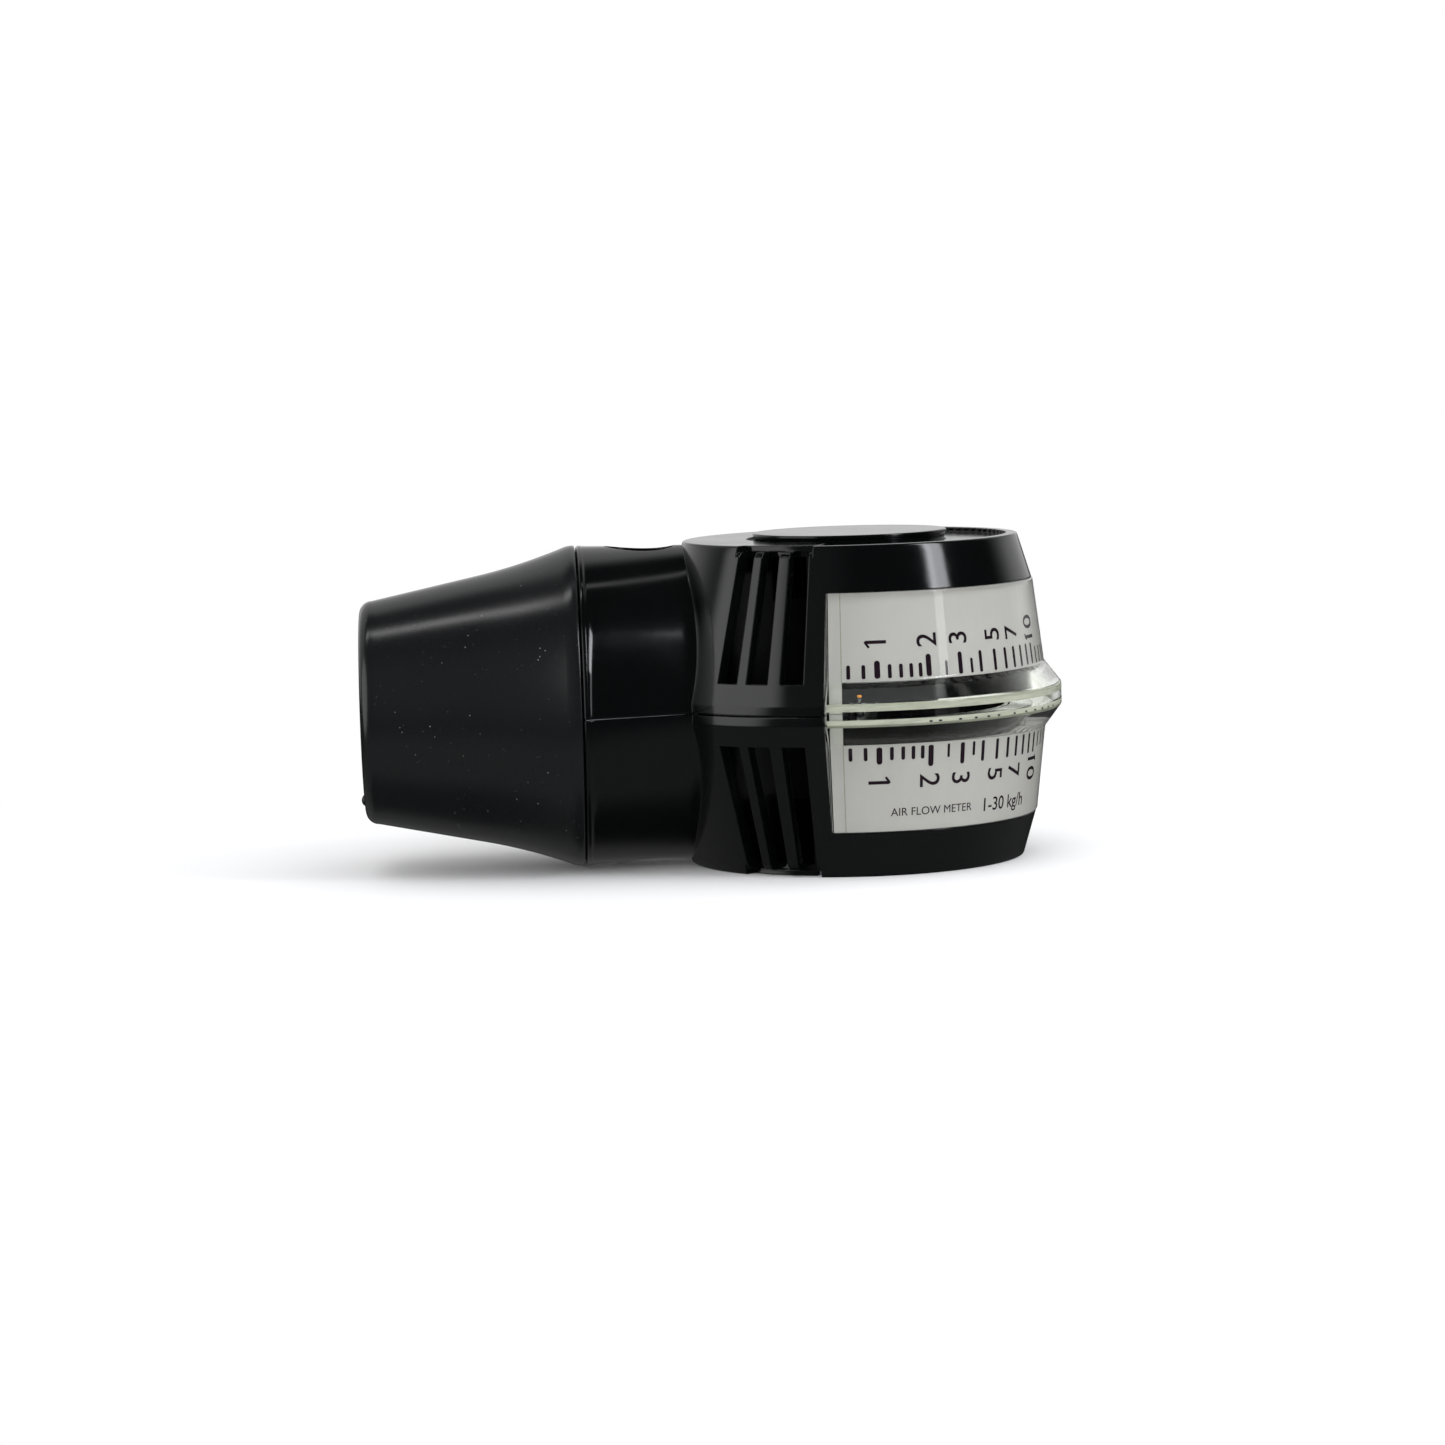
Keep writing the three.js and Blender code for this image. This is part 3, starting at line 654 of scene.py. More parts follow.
def window_recess():
    top = WINDOW_HALF_HEIGHT + 0.15
    arc = (-WINDOW_HALF_ANGLE, WINDOW_HALF_ANGLE)
    return turned("recess", [
        (60.0, SEAM_Z - top), (60.0, SEAM_Z + top), (seat_radius(top), SEAM_Z + top),
        (seat_radius(0), SEAM_Z), (seat_radius(top), SEAM_Z - top)], FINE, arc)


def pointer_slot():
    """The slot that the pointer's arm runs in, a little longer than its swing at both ends."""
    arc = (REST_AZ - 3 - 360, FULL_AZ + 4 - 360)
    return ring(31.0, 50.0, SEAM_Z - POINTER_SLOT, SEAM_Z + POINTER_SLOT, FINE, arc)


def air_slot(centre):
    arc = (centre - SLOT_DEG / 2, centre + SLOT_DEG / 2)
    return ring(32.6, 60.0, SEAM_Z + SLOT_NEAR, SEAM_Z + SLOT_FAR, 12, arc)


def edge_step():
    """The step over the air slots. It leaves the ribs between them with rounded tops."""
    floor = TOP_Z - STEP_DEPTH
    outline = rounded([(STEP_R, 80.0, 0), (STEP_R, floor, 0.3), (FACE_R - 0.2, floor, 0.5),
                       (FACE_R + 0.5, floor - 0.9, 0), (60.0, floor - 0.9, 0), (60.0, 80.0, 0)])
    return turned("step", outline, 64, (STEP_FROM, STEP_TO))


def finger_hollow():
    """An oval recess with steep sides in the top of the neck."""
    rim = 96
    floor = SEAM_Z + WAIST_HALF_HEIGHT - HOLLOW_DEPTH
    levels = ((1.0, 90.0), (1.0, floor + 1.0), (0.985, floor + 0.5), (0.94, floor + 0.15),
              (0.86, floor))
    circle = [on_circle(1.0, 360.0 * k / rim) for k in range(rim)]
    loops = []
    for scale, height in levels:
        length = HOLLOW_HALF_LENGTH * scale
        width = HOLLOW_HALF_WIDTH * scale
        loops.append([(HOLLOW_X + length * c, width * s, height) for c, s in circle])
    return lofted("hollow", loops)


def top_recess():
    """The shallow crescent beside the disc. Its outer wall has fine flutes."""
    flutes = 90
    depth = 0.28
    steps = flutes * 8
    share = RECESS_HALF_ANGLE / 180.0
    count = int(steps * share) * 2
    outer = []
    for k in range(count + 1):
        azimuth = -RECESS_HALF_ANGLE + 2 * RECESS_HALF_ANGLE * k / count
        wave = abs(math.sin(math.radians(azimuth) * flutes / 2))
        outer.append(on_circle(RECESS_R - depth + depth * wave, azimuth))
    inner = [on_circle(DISC_R - 1, RECESS_HALF_ANGLE - 2 * RECESS_HALF_ANGLE * k / 64)
             for k in range(65)]
    return prism("recess", outer + inner, TOP_Z - RECESS_DEPTH, TOP_Z + 5)


def disc_pocket():
    return turned("pocket", [(0.0, TOP_Z - 1.4), (DISC_R - 0.1, TOP_Z - 1.4),
                             (DISC_R - 0.1, TOP_Z - DISC_GROOVE_DEPTH),
                             (DISC_GROOVE_R, TOP_Z - DISC_GROOVE_DEPTH),
                             (DISC_GROOVE_R, TOP_Z + 5), (0.0, TOP_Z + 5)])


def rod(radius, x, y, low, high, steps=48):
    rim = [on_circle(radius, 360 * k / steps) for k in range(steps)]
    return prism("rod", [(x + rim_x, y + rim_y) for rim_x, rim_y in rim], low, high)


def screw_holes():
    """A counterbore and a shank hole round each screw, and the pillar that holds it."""
    holes = []
    pillars = []
    for number in (1, 2):
        low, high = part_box("housing_screw_%d" % number)
        x = (low.x + high.x) / 2 / MM
        y = (low.y + high.y) / 2 / MM
        seat = low.z / MM + 1.5
        head = (high.x - low.x) / 2 / MM
        holes.append(rod(head + 0.25, x, y, -1.0, seat + 0.25))
        holes.append(rod(head - 1.0 + 0.3, x, y, seat - 1, high.z / MM + 0.3))
        pillars.append(rod(head + 1.1, x, y, 0.0, TOP_Z))
    return holes, pillars


def housing():
    outer = joined(drum(0.0, EDGE_ROUND, FINE), neck_form())
    holes, pillars = screw_holes()
    pillar = joined(*pillars)
    kept(pillar, drum(0.4, 0, COARSE))
    boss = rod(5.5, 0, 0, 1.0, WALL + 4)
    shell = joined(cut(outer, chamber(), neck_bore()), pillar, boss, mirrored(boss))
    slots = [air_slot(centre) for centre in SLOT_CENTRES] + [edge_step()]
    hollow = finger_hollow()
    cuts = [*slots, *[mirrored(s) for s in slots], hollow, mirrored(hollow)]
    return cut(shell, window_recess(), pointer_slot(), top_recess(), disc_pocket(), *holes, *cuts)


def part_between(whole, low, high, left=-200, right=90):
    """The part of a piece between two heights, and between two places along the neck."""
    corners = ((left, -90), (right, -90), (right, 90), (left, 90))
    piece = whole.copy()
    piece.data = whole.data.copy()
    bpy.context.scene.collection.objects.link(piece)
    return smooth(kept(piece, prism("block", corners, low, high)))


def make_housing():
    whole = housing()
    upper = part_between(whole, SEAM_Z + SEAM_GAP / 2, 100)
    lower = part_between(whole, -10, SEAM_Z - SEAM_GAP / 2)
    flash = part_between(whole, SEAM_Z - FLASH_HALF, SEAM_Z + FLASH_HALF,
                         NECK_END_X + 0.4, FLASH_END_X)
    bpy.data.objects.remove(whole)
    # the flash carries a grey painted highlight along the neck's seam
    finish_piece(flash, "neck_flash", "housing", SEAM_FLASH_HIGHLIGHT, "black_gloss_plastic")
    finish(upper, "upper_shell", "housing", "black_gloss_plastic", "upper_housing")
    finish(lower, "lower_shell", "housing", "black_gloss_plastic", "lower_housing")


def make_disc():
    outline = rounded([
        (0.0, TOP_Z - 1.3, 0), (DISC_R - 0.4, TOP_Z - 1.3, 0),
        (DISC_R - 0.4, DISC_TOP_Z - 0.95, 0.1), (DISC_R - 0.1, DISC_TOP_Z - 0.7, 0.1),
        (DISC_R, DISC_TOP_Z, 0.25), (0.0, DISC_TOP_Z, 0)])
    disc = smooth(turned("disc", subdivided(outline, 2.0)))
    finish(disc, "raised_disc", "housing", "black_gloss_plastic", "top_disc")


# ---- window and scale ---------------------------------------------------------------------

def make_window():
    """The clear cover: one wall with the ridge along its middle, turned round the head."""
    reach = WINDOW_HALF_ANGLE - 0.3
    outer = [(WINDOW_FOOT_R, WINDOW_FOOT, 1.2), (WINDOW_EDGE_R, WINDOW_HALF_HEIGHT, 0.3)]
    inner = [(seat_radius(WINDOW_HALF_HEIGHT) + WINDOW_INNER, WINDOW_HALF_HEIGHT, 0),
             (seat_radius(6) + WINDOW_INNER, WINDOW_FOOT - 1, 0.8),
             (RIDGE_R - 1.7, RIDGE_CROWN - 0.6, 0.3)]
    outline = mirrored_outline([(RIDGE_R, RIDGE_CROWN, 0.45), *outer, *inner])
    outline = subdivided(rounded(outline), 1.2)
    window = smooth(turned("window", outline, FINE, (-reach, reach)), 25)
    finish(window, "scale_cover", "housing", "clear_plastic", "scale_window")


def make_crown_edges():
    """Two thin bands of painted highlight on the ridge's two crown edges, where those edges gather
    the light of the card.
    """
    reach = WINDOW_HALF_ANGLE - 0.5
    skin = 0.04
    upper = [(RIDGE_R, 0.8), (RIDGE_R + skin, 0.9), (RIDGE_R + skin, RIDGE_CROWN - 0.35),
             (RIDGE_R - 0.35 + skin, RIDGE_CROWN + 0.05 + skin), (RIDGE_R - 0.4, RIDGE_CROWN)]
    lower = [(RIDGE_R, -0.95), (RIDGE_R + skin, -1.05), (RIDGE_R + skin, 0.3 - RIDGE_CROWN),
             (RIDGE_R - 0.35 + skin, -RIDGE_CROWN - skin),
             (RIDGE_R - 0.6, -0.1 - RIDGE_CROWN - skin)]
    for name, line in (("upper_crown_highlight", upper), ("lower_crown_highlight", lower)):
        outline = [(radius, SEAM_Z + offset) for radius, offset in line]
        band = smooth(turned("edge", outline, FINE, (-reach, reach)))
        # each band is pale painted highlight laid on the crown edge
        finish_piece(band, name, "housing", PAINTED_EDGE_HIGHLIGHT, "clear_plastic")


def make_mirrored_marks():
    """Short dashes in the lower crown edge, where the ridge mirrors the scale's marks."""
    inner, outer = RIDGE_R - 0.1, RIDGE_R + 0.07
    low, high = SEAM_Z - 1.9, SEAM_Z - 1.55
    half_width = 0.45
    dashes = []
    for flow in FLOWS:
        if 1.8 <= flow <= 10:
            middle = azimuth_of(flow)
            arc = (middle - half_width, middle + half_width)
            dashes.append(ring(inner, outer, low, high, 2, arc))
    finish(joined(dashes[0], *dashes[1:]), "mirrored_marks", "housing", "scale_ink")


def make_strips():
    """The two printed cards, and thin lines of painted highlight where their end tabs begin."""
    def edge(offset, depth):
        return seat_radius(offset) + depth, SEAM_Z + offset

    outline = [edge(STRIP_NEAR, STRIP_INNER), edge(STRIP_NEAR, STRIP_OUTER),
               edge(STRIP_FAR, STRIP_OUTER), edge(STRIP_FAR, STRIP_INNER)]
    arc = (-STRIP_REACH, STRIP_REACH)
    strip = turned("strip", subdivided(outline, 2.0), FINE, arc)
    tab_outline = [edge(0.05, STRIP_INNER), edge(0.05, STRIP_OUTER),
                   edge(STRIP_NEAR + 0.5, STRIP_OUTER), edge(STRIP_NEAR + 0.5, STRIP_INNER)]
    tabs = [turned("tab", tab_outline, 12, (end, end + TAB_DEG))
            for end in (-STRIP_REACH, STRIP_REACH - TAB_DEG)]
    upper = smooth(joined(strip, *tabs))
    lower = smooth(mirrored(upper))
    # thin bars of painted highlight, in the pale edge material, where the end tabs begin
    line = [edge(STRIP_NEAR, STRIP_OUTER), edge(STRIP_NEAR, STRIP_OUTER + 0.05),
            edge(STRIP_FAR, STRIP_OUTER + 0.05), edge(STRIP_FAR, STRIP_OUTER)]
    for number, end in enumerate((-STRIP_REACH + TAB_DEG, STRIP_REACH - TAB_DEG)):
        bar = smooth(turned("bar", line, 4, (end - 0.15, end + 0.15)))
        for row, piece in enumerate((bar, mirrored(bar))):
            name = "end_highlight_line_%d_%d" % (number + 1, row + 1)
            finish_piece(piece, name, "housing", PAINTED_EDGE_HIGHLIGHT, "clear_plastic")
    finish(upper, "upper_card", "housing", "scale_card", "upper_scale_strip")
    finish(lower, "lower_card", "housing", "scale_card", "lower_scale_strip")


# The flows that have a mark, in kilograms per hour: every 0.2 to 2, every 0.5 to 4, then every 1.
FLOWS = [k / 5 for k in range(3, 11)] + [2.5, 3, 3.5] + list(range(4, 31))
FULL_FLOW = 30
DEGREES_PER_FLOW = 3.8           # where the scale is even, towards its far end
SPREAD_DEG = 50.6                # how far the scale's start is drawn out
SPREAD_FLOW = 1.82               # how soon that fades as the flow grows
LABELS = (1, 2, 3, 5, 7, 10, 15, 20, 30)
FINE_MARK = (0.6, 3.6)           # width and length of a mark
SMALL_MARK = (0.78, 3.0)
LONG_MARK = (0.82, 4.6)
MARK_STYLES = {
    1: (1.2, 3.8), 2: (1.15, 4.7), 2.5: (0.55, 3.1), 3: (1.0, 4.7), 3.5: (0.65, 3.2),
    **{value: SMALL_MARK for value in (0.6, 0.8, 1.2, 1.4, 1.6, 1.8)},
}
MARK_START = 6.9                 # from the seam
LABEL_OFFSET = 14.5
LABEL_HEIGHT = 4.6
INK_THICK = 0.03
CAP_HEIGHT = 0.729               # of a capital, for a font size of 1
TEXT_OFFSET = -20.8              # of the words on the lower strip, from the seam


def azimuth_of(flow):
    """Where the pointer stands at a flow. It is at its stop at full flow."""
    even = FULL_AZ - DEGREES_PER_FLOW * (FULL_FLOW - flow)
    return even - SPREAD_DEG * math.exp(-flow / SPREAD_FLOW)


def marks():
    """(azimuth, width, length) of each mark of one row."""
    rows = []
    for value in FLOWS:
        style = MARK_STYLES.get(value, LONG_MARK)
        if value > 10 and value % 5:
            style = FINE_MARK
        rows.append((azimuth_of(value), *style))
    return rows


class Print:
    """Flat shapes collected in (along, offset) millimetres and wrapped onto a scale strip."""

    def __init__(self, side):
        self.side = side         # 1 for the upper strip, -1 for the lower
        self.shape = bmesh.new()

    def add_bar(self, azimuth, width, length):
        """A round-ended mark that runs away from the seam."""
        radius = width / 2
        outline = []
        far, near = MARK_START + length - radius, MARK_START + radius
        for start, middle in ((0, far), (180, near)):
            for k in range(9):
                c, s = on_circle(radius, start + 180 * k / 8)
                outline.append((c, middle + s))
        along = self.along(azimuth)
        corners = [self.shape.verts.new((along + x, self.side * y, 0)) for x, y in outline]
        self.shape.faces.new(corners if self.side > 0 else corners[::-1])

    @staticmethod
    def along(azimuth):
        return math.radians(azimuth) * SEAT_R

    def add_text(self, words, height, azimuth, offset, turn=0, centred=True, bold=0.006):
        """Words at a place on the strip, turned by quarter turns."""
        curve = bpy.data.curves.new("words", "FONT")
        curve.body = words
        curve.size = 1.0
        curve.offset = bold
        holder = bpy.data.objects.new("words", curve)
        bpy.context.scene.collection.objects.link(holder)
        graph = bpy.context.evaluated_depsgraph_get()
        mesh = bpy.data.meshes.new_from_object(holder.evaluated_get(graph))
        bpy.data.objects.remove(holder)
        bpy.data.curves.remove(curve)
        xs = [v.co.x for v in mesh.vertices]
        scale = height / CAP_HEIGHT
        middle_x = (min(xs) + max(xs)) / 2 if centred else min(xs)
        middle_y = CAP_HEIGHT / 2
        along = self.along(azimuth)
        c, s = on_circle(1.0, 90.0 * turn)
        for v in mesh.vertices:
            x = (v.co.x - middle_x) * scale
            y = (v.co.y - middle_y) * scale
            v.co = (along + x * c - y * s, offset + x * s + y * c, 0.0)
        self.shape.from_mesh(mesh)
        bpy.data.meshes.remove(mesh)

    def add_flag(self, height, azimuth, side, offset):
        """The slanting flag at the head of a turned figure one."""
        stroke = 0.4
        top = -side * height / 2
        along = self.along(azimuth)
        points = [(top, 0.1), (top + side * 0.35, 0.2), (top + side * 1.25, -1.0),
                  (top + side * 0.85, -1.15 - stroke / 3), (top + side * 0.1, -0.25)]
        corners = [self.shape.verts.new((along + x, side * (offset + y), 0)) for x, y in points]
        self.shape.faces.new(corners)

    def wrapped(self, name):
        """The collected print as one thin closed mesh on the strip."""
        shape = self.shape
        bmesh.ops.triangulate(shape, faces=shape.faces)
        for _ in range(3):
            long_edges = [e for e in shape.edges if e.calc_length() > 0.7]
            if long_edges:
                bmesh.ops.subdivide_edges(shape, edges=long_edges, cuts=1)
                bmesh.ops.triangulate(shape, faces=shape.faces)
        flat = [(v.co.x, v.co.y) for v in shape.verts]
        shape.verts.index_update()
        faces = [[v.index for v in f.verts] for f in shape.faces]
        rim = [[v.index for v in e.verts] for e in shape.edges if len(e.link_faces) == 1]
        shape.free()
        vertices = [self.place(x, y, depth) for depth in (INK_THICK, -0.01) for x, y in flat]
        count = len(flat)
        bottoms = [[i + count for i in reversed(face)] for face in faces]
        walls = [[a, b, b + count, a + count] for a, b in rim]
        return smooth(new_piece(name, vertices, faces + bottoms + walls))

    @staticmethod
    def place(along, offset, depth):
        radius = seat_radius(offset) + STRIP_OUTER + depth
        x, y = on_circle(radius, math.degrees(along / SEAT_R))
        return x, y, SEAM_Z + offset


def make_print(side, name):
    """The marks and figures of one row, and the words of the lower one."""
    ink = Print(side)
    for azimuth, width, length in marks():
        ink.add_bar(azimuth, width, length)
    for value in LABELS:
        offset = LABEL_OFFSET + (0.0 if value < 10 else 0.4)
        azimuth = azimuth_of(value) - (0.4 if side > 0 else 0.0)
        ink.add_text(str(value), LABEL_HEIGHT, azimuth, side * offset, side)
        if value in (1, 10):     # the font's figure one is a plain stroke
            ink.add_flag(LABEL_HEIGHT, azimuth, side, offset - (0.0 if value == 1 else 1.55))
    if side < 0:
        ink.add_text("AIR FLOW METER", 1.75, 276.0, TEXT_OFFSET, centred=False, bold=0.0)
        ink.add_text("1-30 kg/h", 2.9, 309.3, TEXT_OFFSET, centred=False, bold=0.008)
    finish(ink.wrapped(name), name, "housing", "scale_ink")


# ---- pointer ------------------------------------------------------------------------------

def turned_to(piece, azimuth):
    """Turns a piece modelled along +X to an azimuth."""
    turn = math.radians(azimuth)
    for v in piece.data.vertices:
        x, y = v.co.x, v.co.y
        v.co.x = x * math.cos(turn) - y * math.sin(turn)
        v.co.y = x * math.sin(turn) + y * math.cos(turn)
    return piece


def soften(piece, width):
    """Rounds a small piece's edges."""
    edges = piece.modifiers.new("edges", "BEVEL")
    edges.width = width * MM
    edges.segments = 3
    apply_modifiers(piece)
    return smooth(piece, 40)


def make_pointer():
    """A black arm whose tip carries a small upturned orange flag."""
    root = 27.5
    tip = 40.2
    taper = tip - 3.4
    outline = [(root, -1.0), (taper, -1.0), (tip, -0.5), (tip, 0.5), (taper, 1.0), (root, 1.0)]
    arm = soften(turned_to(prism("arm", outline, SEAM_Z - 0.8, SEAM_Z + 0.8), REST_AZ), 0.15)
    post = [(tip - 0.9, -0.35), (tip - 0.2, -0.35), (tip - 0.2, 0.35), (tip - 0.9, 0.35)]
    arm = joined(arm, turned_to(prism("post", post, SEAM_Z - 0.3, SEAM_Z + 3.0), REST_AZ))
    finish(arm, "pointer_arm", "vane", "black_gloss_plastic", "pointer")
    flag = [(tip - 1.0, -0.45), (tip, -0.45), (tip, 0.45), (tip - 1.0, 0.45)]
    plate = soften(turned_to(prism("flag", flag, SEAM_Z + 3.0, SEAM_Z + 3.5), REST_AZ), 0.15)
    finish(plate, "pointer_flag", "vane", "orange_plastic", "pointer")


# ---- rubber cone --------------------------------------------------------------------------

def cone_radius(x):
    """Outer side of the cone: an even taper that bells out towards the neck."""
    bell = 0.0048 * max(0.0, x + 80.0) ** 2
    return min(MOUTH_R + 0.205 * (x - MOUTH_X - MOUTH_ROUND) + bell, NECK_END_R + 0.05)


def make_cone():
    back = NECK_END_X - 0.25
    start = MOUTH_X + MOUTH_ROUND
    side = []
    rows = 40
    for k in range(rows + 1):
        x = start + (back - 1.0 - start) * k / rows
        side.append((cone_radius(x), x))
    rounding = []
    for k in range(12):
        turn = math.radians(90 * k / 12)
        rounding.append((cone_radius(start) - MOUTH_ROUND + MOUTH_ROUND * math.sin(turn),
                         start - MOUTH_ROUND * math.cos(turn)))
    end = [(NECK_END_R + 0.05, back - 0.35), (NECK_END_R - 0.1, back - 0.1),
           (NECK_END_R - 0.4, back)]
    inside = rounded([
        (SPIGOT_R + 0.3, back, 0), (SPIGOT_R + 0.3, SPIGOT_END_X - 0.3, 0),
        (SPIGOT_R - 1.6, SPIGOT_END_X - 1.5, 0), (MOUTH_BORE_R + 2.4, MOUTH_X + 11, 0),
        (MOUTH_BORE_R, MOUTH_X + 5, 0), (MOUTH_BORE_R, MOUTH_X, 0)])
    outline = rounding + side + end + subdivided(inside, 2.5)[:-1]
    cone = smooth(turned("cone", outline, FINE, along_neck=True))
    finish(cone, "rubber_mouth_cone", "cone", "black_rubber", "rubber_cone")


def make_nub():
    """The moulding nub on the cone's flat rim."""
    radius = 1.3
    proud = 1.0
    rows = 10
    outline = [(0.0, MOUTH_X + 0.2), (radius, MOUTH_X + 0.2)]
    for k in range(rows + 1):
        turn = math.radians(90 * k / rows)
        outline.append((radius * math.cos(turn), MOUTH_X - proud * math.sin(turn)))
    outline[-1] = (0.0, MOUTH_X - proud)
    nub = turned("nub", outline, 32, along_neck=True)
    for v in nub.data.vertices:
        v.co.z -= NUB_DROP * MM
    finish(smooth(nub), "mouth_nub", "cone", "black_rubber")


# ---- carried-over pieces ------------------------------------------------------------------

def paint_model_nodes():
    """Gives every node that is kept from the model its material, by the record's slots."""
    for entry in frame["record"]["subparts"]:
        node = frame["nodes"][entry["node"]]
        node.data.materials.clear()
        node.data.materials.append(MATERIALS[entry["material_slot"]])


# ---- studio -------------------------------------------------------------------------------

def make_floor():
    size = 3000.0
    floor = new_piece("floor", [(-size, -size, 0), (size, -size, 0), (size, size, 0),
                                (-size, size, 0)], [[0, 1, 2, 3]])
    floor.data.materials.append(floor_paper())
    floor.visible_glossy = False
    floor.visible_transmission = False


def make_camera():
    """The camera stands in front, a little to the cone's side, and looks slightly down."""
    yaw = math.radians(CAMERA_YAW)
    rise = math.radians(CAMERA_RISE)
    roll = math.radians(CAMERA_ROLL)
    back = Vector((-math.sin(yaw) * math.cos(rise), -math.cos(yaw) * math.cos(rise),
                   math.sin(rise)))
    camera = bpy.data.objects.new("camera", bpy.data.cameras.new("camera"))
    bpy.context.scene.collection.objects.link(camera)
    camera.data.lens = LENS
    camera.data.sensor_width = 36.0
    camera.data.clip_start = 0.01
    camera.location = (Vector(CAMERA_TARGET) + back * CAMERA_DISTANCE) * MM
    right = (-back).cross(Vector((0, 0, 1))).normalized()
    up = right.cross(-back)
    tilted_right = right * math.cos(roll) - up * math.sin(roll)
    tilted_up = right * math.sin(roll) + up * math.cos(roll)
    camera.rotation_mode = "QUATERNION"
    axes = Matrix((tilted_right, tilted_up, back)).transposed()
    camera.rotation_quaternion = axes.to_quaternion()
    bpy.context.scene.camera = camera


def softbox(name, azimuth, rise, distance, size, radiance, glossy=True):
    """A soft area light that faces the head. Its radiance is relative to white paper."""
    aim = Vector((-20, 0, 35)) * MM
    flat = distance * math.cos(math.radians(rise))
    x, y = on_circle(flat, azimuth)
    light = bpy.data.lights.new(name, "AREA")
    light.shape = "RECTANGLE"
    light.size, light.size_y = size
    light.color = (0.94, 0.95, 1.0)
    light.energy = radiance * math.pi * size[0] * size[1]
    lamp = bpy.data.objects.new(name, light)
    lamp.location = aim + Vector((x, y, distance * math.sin(math.radians(rise))))
    lamp.rotation_mode = "QUATERNION"
    lamp.rotation_quaternion = (aim - lamp.location).to_track_quat("-Z", "Y")
    lamp.visible_glossy = glossy
    bpy.context.scene.collection.objects.link(lamp)


def make_lights():
    softbox("right_box", 326.8, 36, 1.0, (0.2, 0.5), 8.0)
    softbox("right_core", 321.5, 22, 0.98, (0.1, 0.9), 2.8)
    softbox("front_fill", 268, 35, 1.6, (1.6, 1.2), 0.45, glossy=False)
    softbox("low_front", 287, 3, 1.6, (1.8, 0.2), 6.3, glossy=False)
    softbox("top_fill", 270, 80, 1.6, (1.8, 1.8), 0.9, glossy=False)


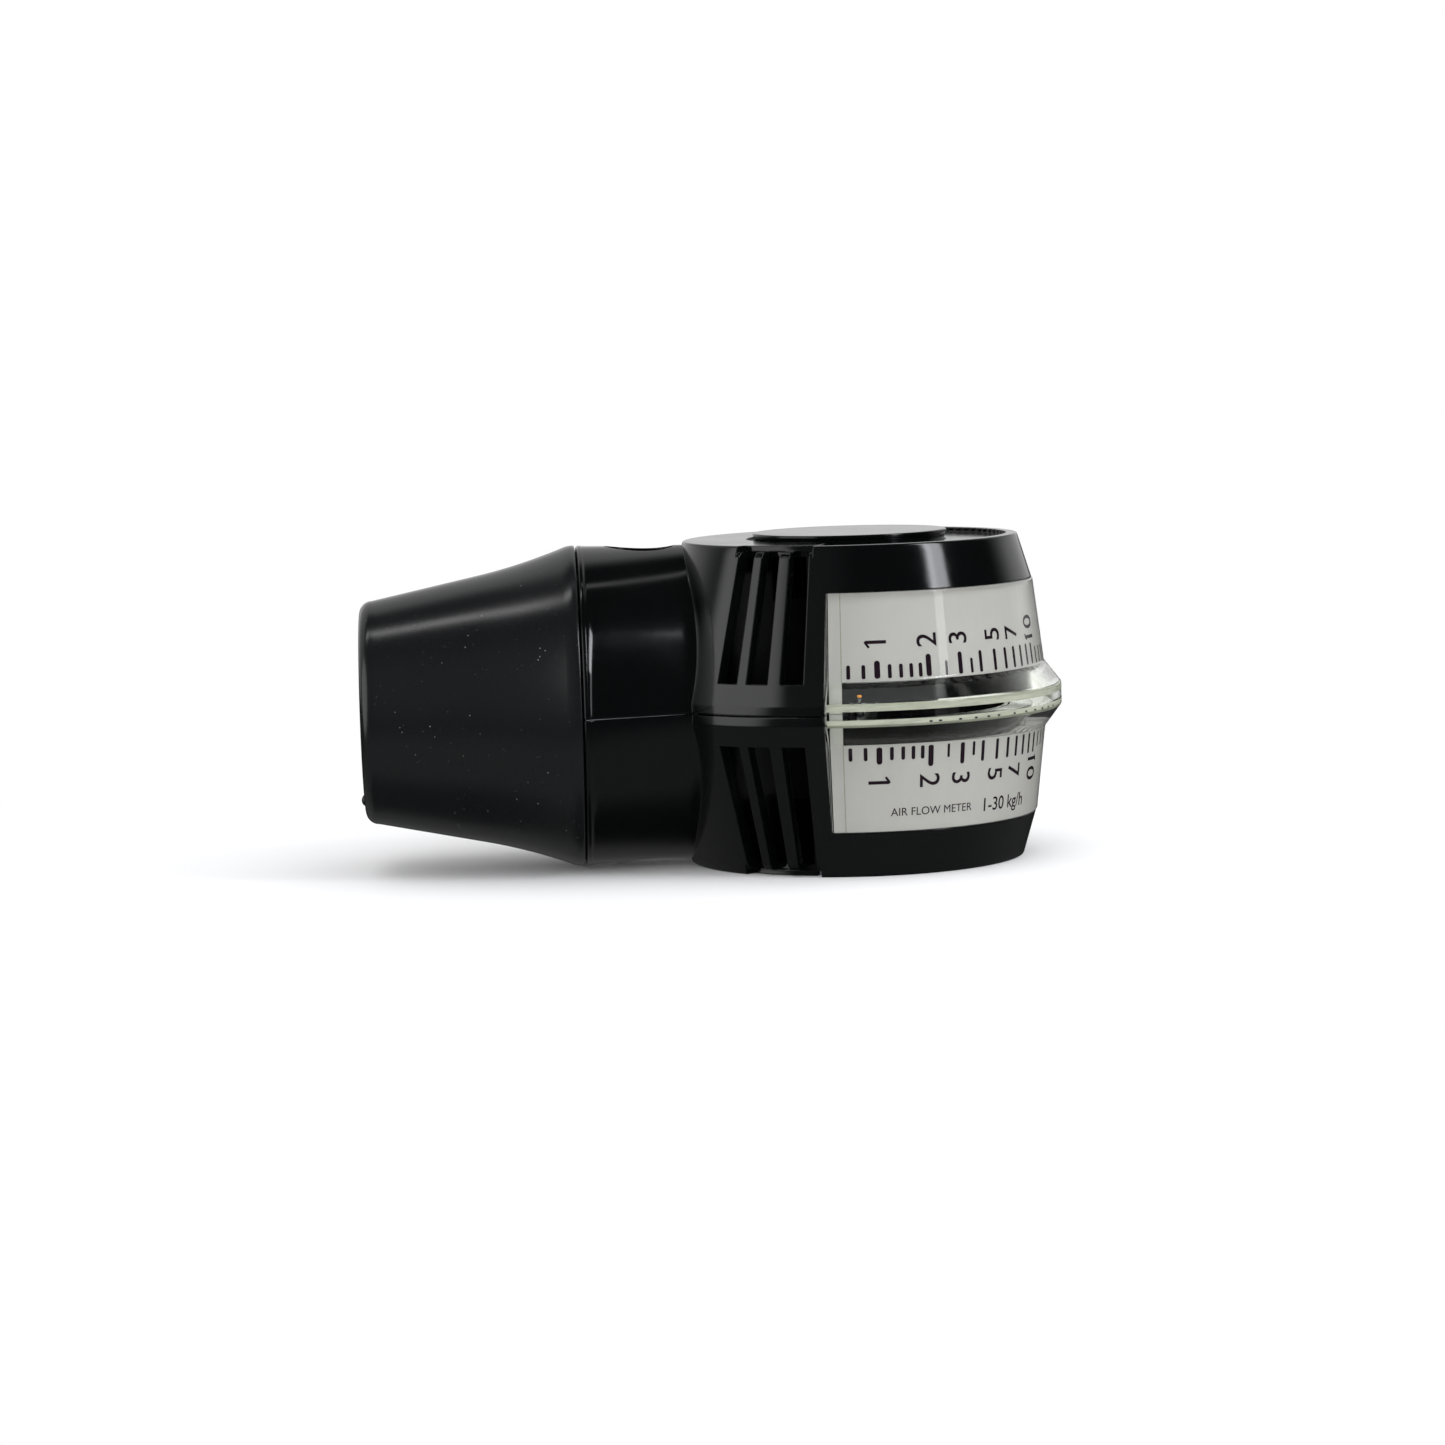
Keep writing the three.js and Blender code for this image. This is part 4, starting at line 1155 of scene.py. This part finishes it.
class Sky(Tree):
    """The world's node tree, whose lights are soft shapes over its directions."""

    interpolation = "SMOOTHSTEP"

    def __init__(self, tree):
        super().__init__(tree)
        self.place = self.add("ShaderNodeTexCoord")
        self.x = self.facing((1.0, 0.0, 0.0))
        self.y = self.facing((0.0, 1.0, 0.0))
        self.height = self.facing((0.0, 0.0, 1.0))

    def facing(self, direction):
        """How far a ray's direction agrees with another, from -1 to 1."""
        dot = self.add("ShaderNodeVectorMath", operation="DOT_PRODUCT")
        dot.inputs[1].default_value = direction
        self.link(self.place.outputs["Generated"], dot.inputs[0])
        return dot.outputs["Value"]

    def between(self, value, low, high, soft):
        """1 between two values and 0 outside them, with soft ends."""
        return self.product(self.ranged(value, low - soft, low + soft, 0.0, 1.0),
                            self.ranged(value, high - soft, high + soft, 1.0, 0.0))

    def patch(self, azimuth, rise, inner, outer, radiance):
        """A round soft light, full inside one angle from its middle and gone outside another."""
        tilt = math.radians(rise)
        x, y = on_circle(math.cos(tilt), azimuth)
        toward = self.facing((x, y, math.sin(tilt)))
        return self.ranged(toward, math.cos(math.radians(outer)), math.cos(math.radians(inner)),
                           0.0, radiance)

    def strip(self, x_range, y_range, soft, radiance):
        """A long overhead light, by the sideways parts of its direction."""
        return self.product(self.between(self.x, *x_range, 0.08),
                            self.between(self.y, *y_range, soft),
                            self.ranged(self.height, 0.3, 0.5, 0.0, radiance))

    def backdrop(self):
        """A white backdrop behind the head, low over the floor, darker straight beyond the cone."""
        behind = self.ranged(self.facing((*on_circle(1.0, 102.0), 0.0)), 0.0, 0.45, 0.0, 1.0)
        beyond_cone = self.ranged(self.facing((-1.0, 0.0, 0.0)), 0.8, 0.97, 1.0, 0.2)
        return self.product(behind, beyond_cone, self.ranged(self.height, -0.02, 0.03, 0.0, 1.0),
                            self.ranged(self.height, 0.15, 0.3, 0.74, 0.5),
                            self.ranged(self.height, 0.7, 0.86, 1.0, 0.0))

    def gloss(self):
        """Everything that the glossy surfaces mirror."""
        below = self.product(self.ranged(self.height, -0.5, -0.12, 0.13, 0.0),
                             self.ranged(self.height, -0.95, -0.8, 0.0, 1.0))
        lights = (self.backdrop(), below, self.patch(197, 14, 21, 31, 1.55),
                  self.patch(225, 22, 12, 42, 0.09),
                  self.strip((-0.48, -0.2), (0.04, 0.14), 0.03, 4.6),
                  self.strip((-0.12, 0.6), (0.18, 0.24), 0.02, 0.85))
        total = 0.012
        for light in lights:
            total = self.math("ADD", light, total)
        return total

    def strength(self):
        """White to the eye, to scattered light and straight through clear parts.

        Gloss and refraction find the lights of gloss() instead.
        """
        rays = self.add("ShaderNodeLightPath").outputs
        scattered = self.math("MINIMUM", rays["Diffuse Depth"], 1.0)
        direct = self.math("SUBTRACT", 1.0, scattered)
        shine = self.math("MAXIMUM", rays["Is Glossy Ray"], rays["Is Transmission Ray"])
        mirrored_light = self.product(direct, shine, self.gloss())
        through = self.ranged(self.facing((0.05, 0.994, -0.097)), 0.75, 0.9, 0.0, 1.0)
        seen = self.math("MAXIMUM", rays["Is Camera Ray"],
                         self.product(direct, rays["Is Transmission Ray"], through))
        return self.math("ADD", self.math("ADD", scattered, mirrored_light), seen)


def make_world():
    world = bpy.data.worlds.new("studio")
    bpy.context.scene.world = world
    world.use_nodes = True
    world.node_tree.nodes.clear()
    sky = Sky(world.node_tree)
    background = sky.add("ShaderNodeBackground")
    background.inputs["Color"].default_value = (1.0, 1.0, 1.0, 1.0)
    sky.link(sky.strength(), background.inputs["Strength"])
    output = sky.add("ShaderNodeOutputWorld")
    sky.link(background.outputs["Background"], output.inputs["Surface"])


# ---- the whole scene ----------------------------------------------------------------------

make_camera()
paint_model_nodes()
make_housing()
make_disc()
make_window()
make_strips()
make_crown_edges()
make_mirrored_marks()
make_print(1, "upper_print")
make_print(-1, "lower_print")
make_pointer()
make_cone()
make_nub()
make_floor()
make_lights()
make_world()
bpy.context.scene.view_settings.view_transform = "Standard"
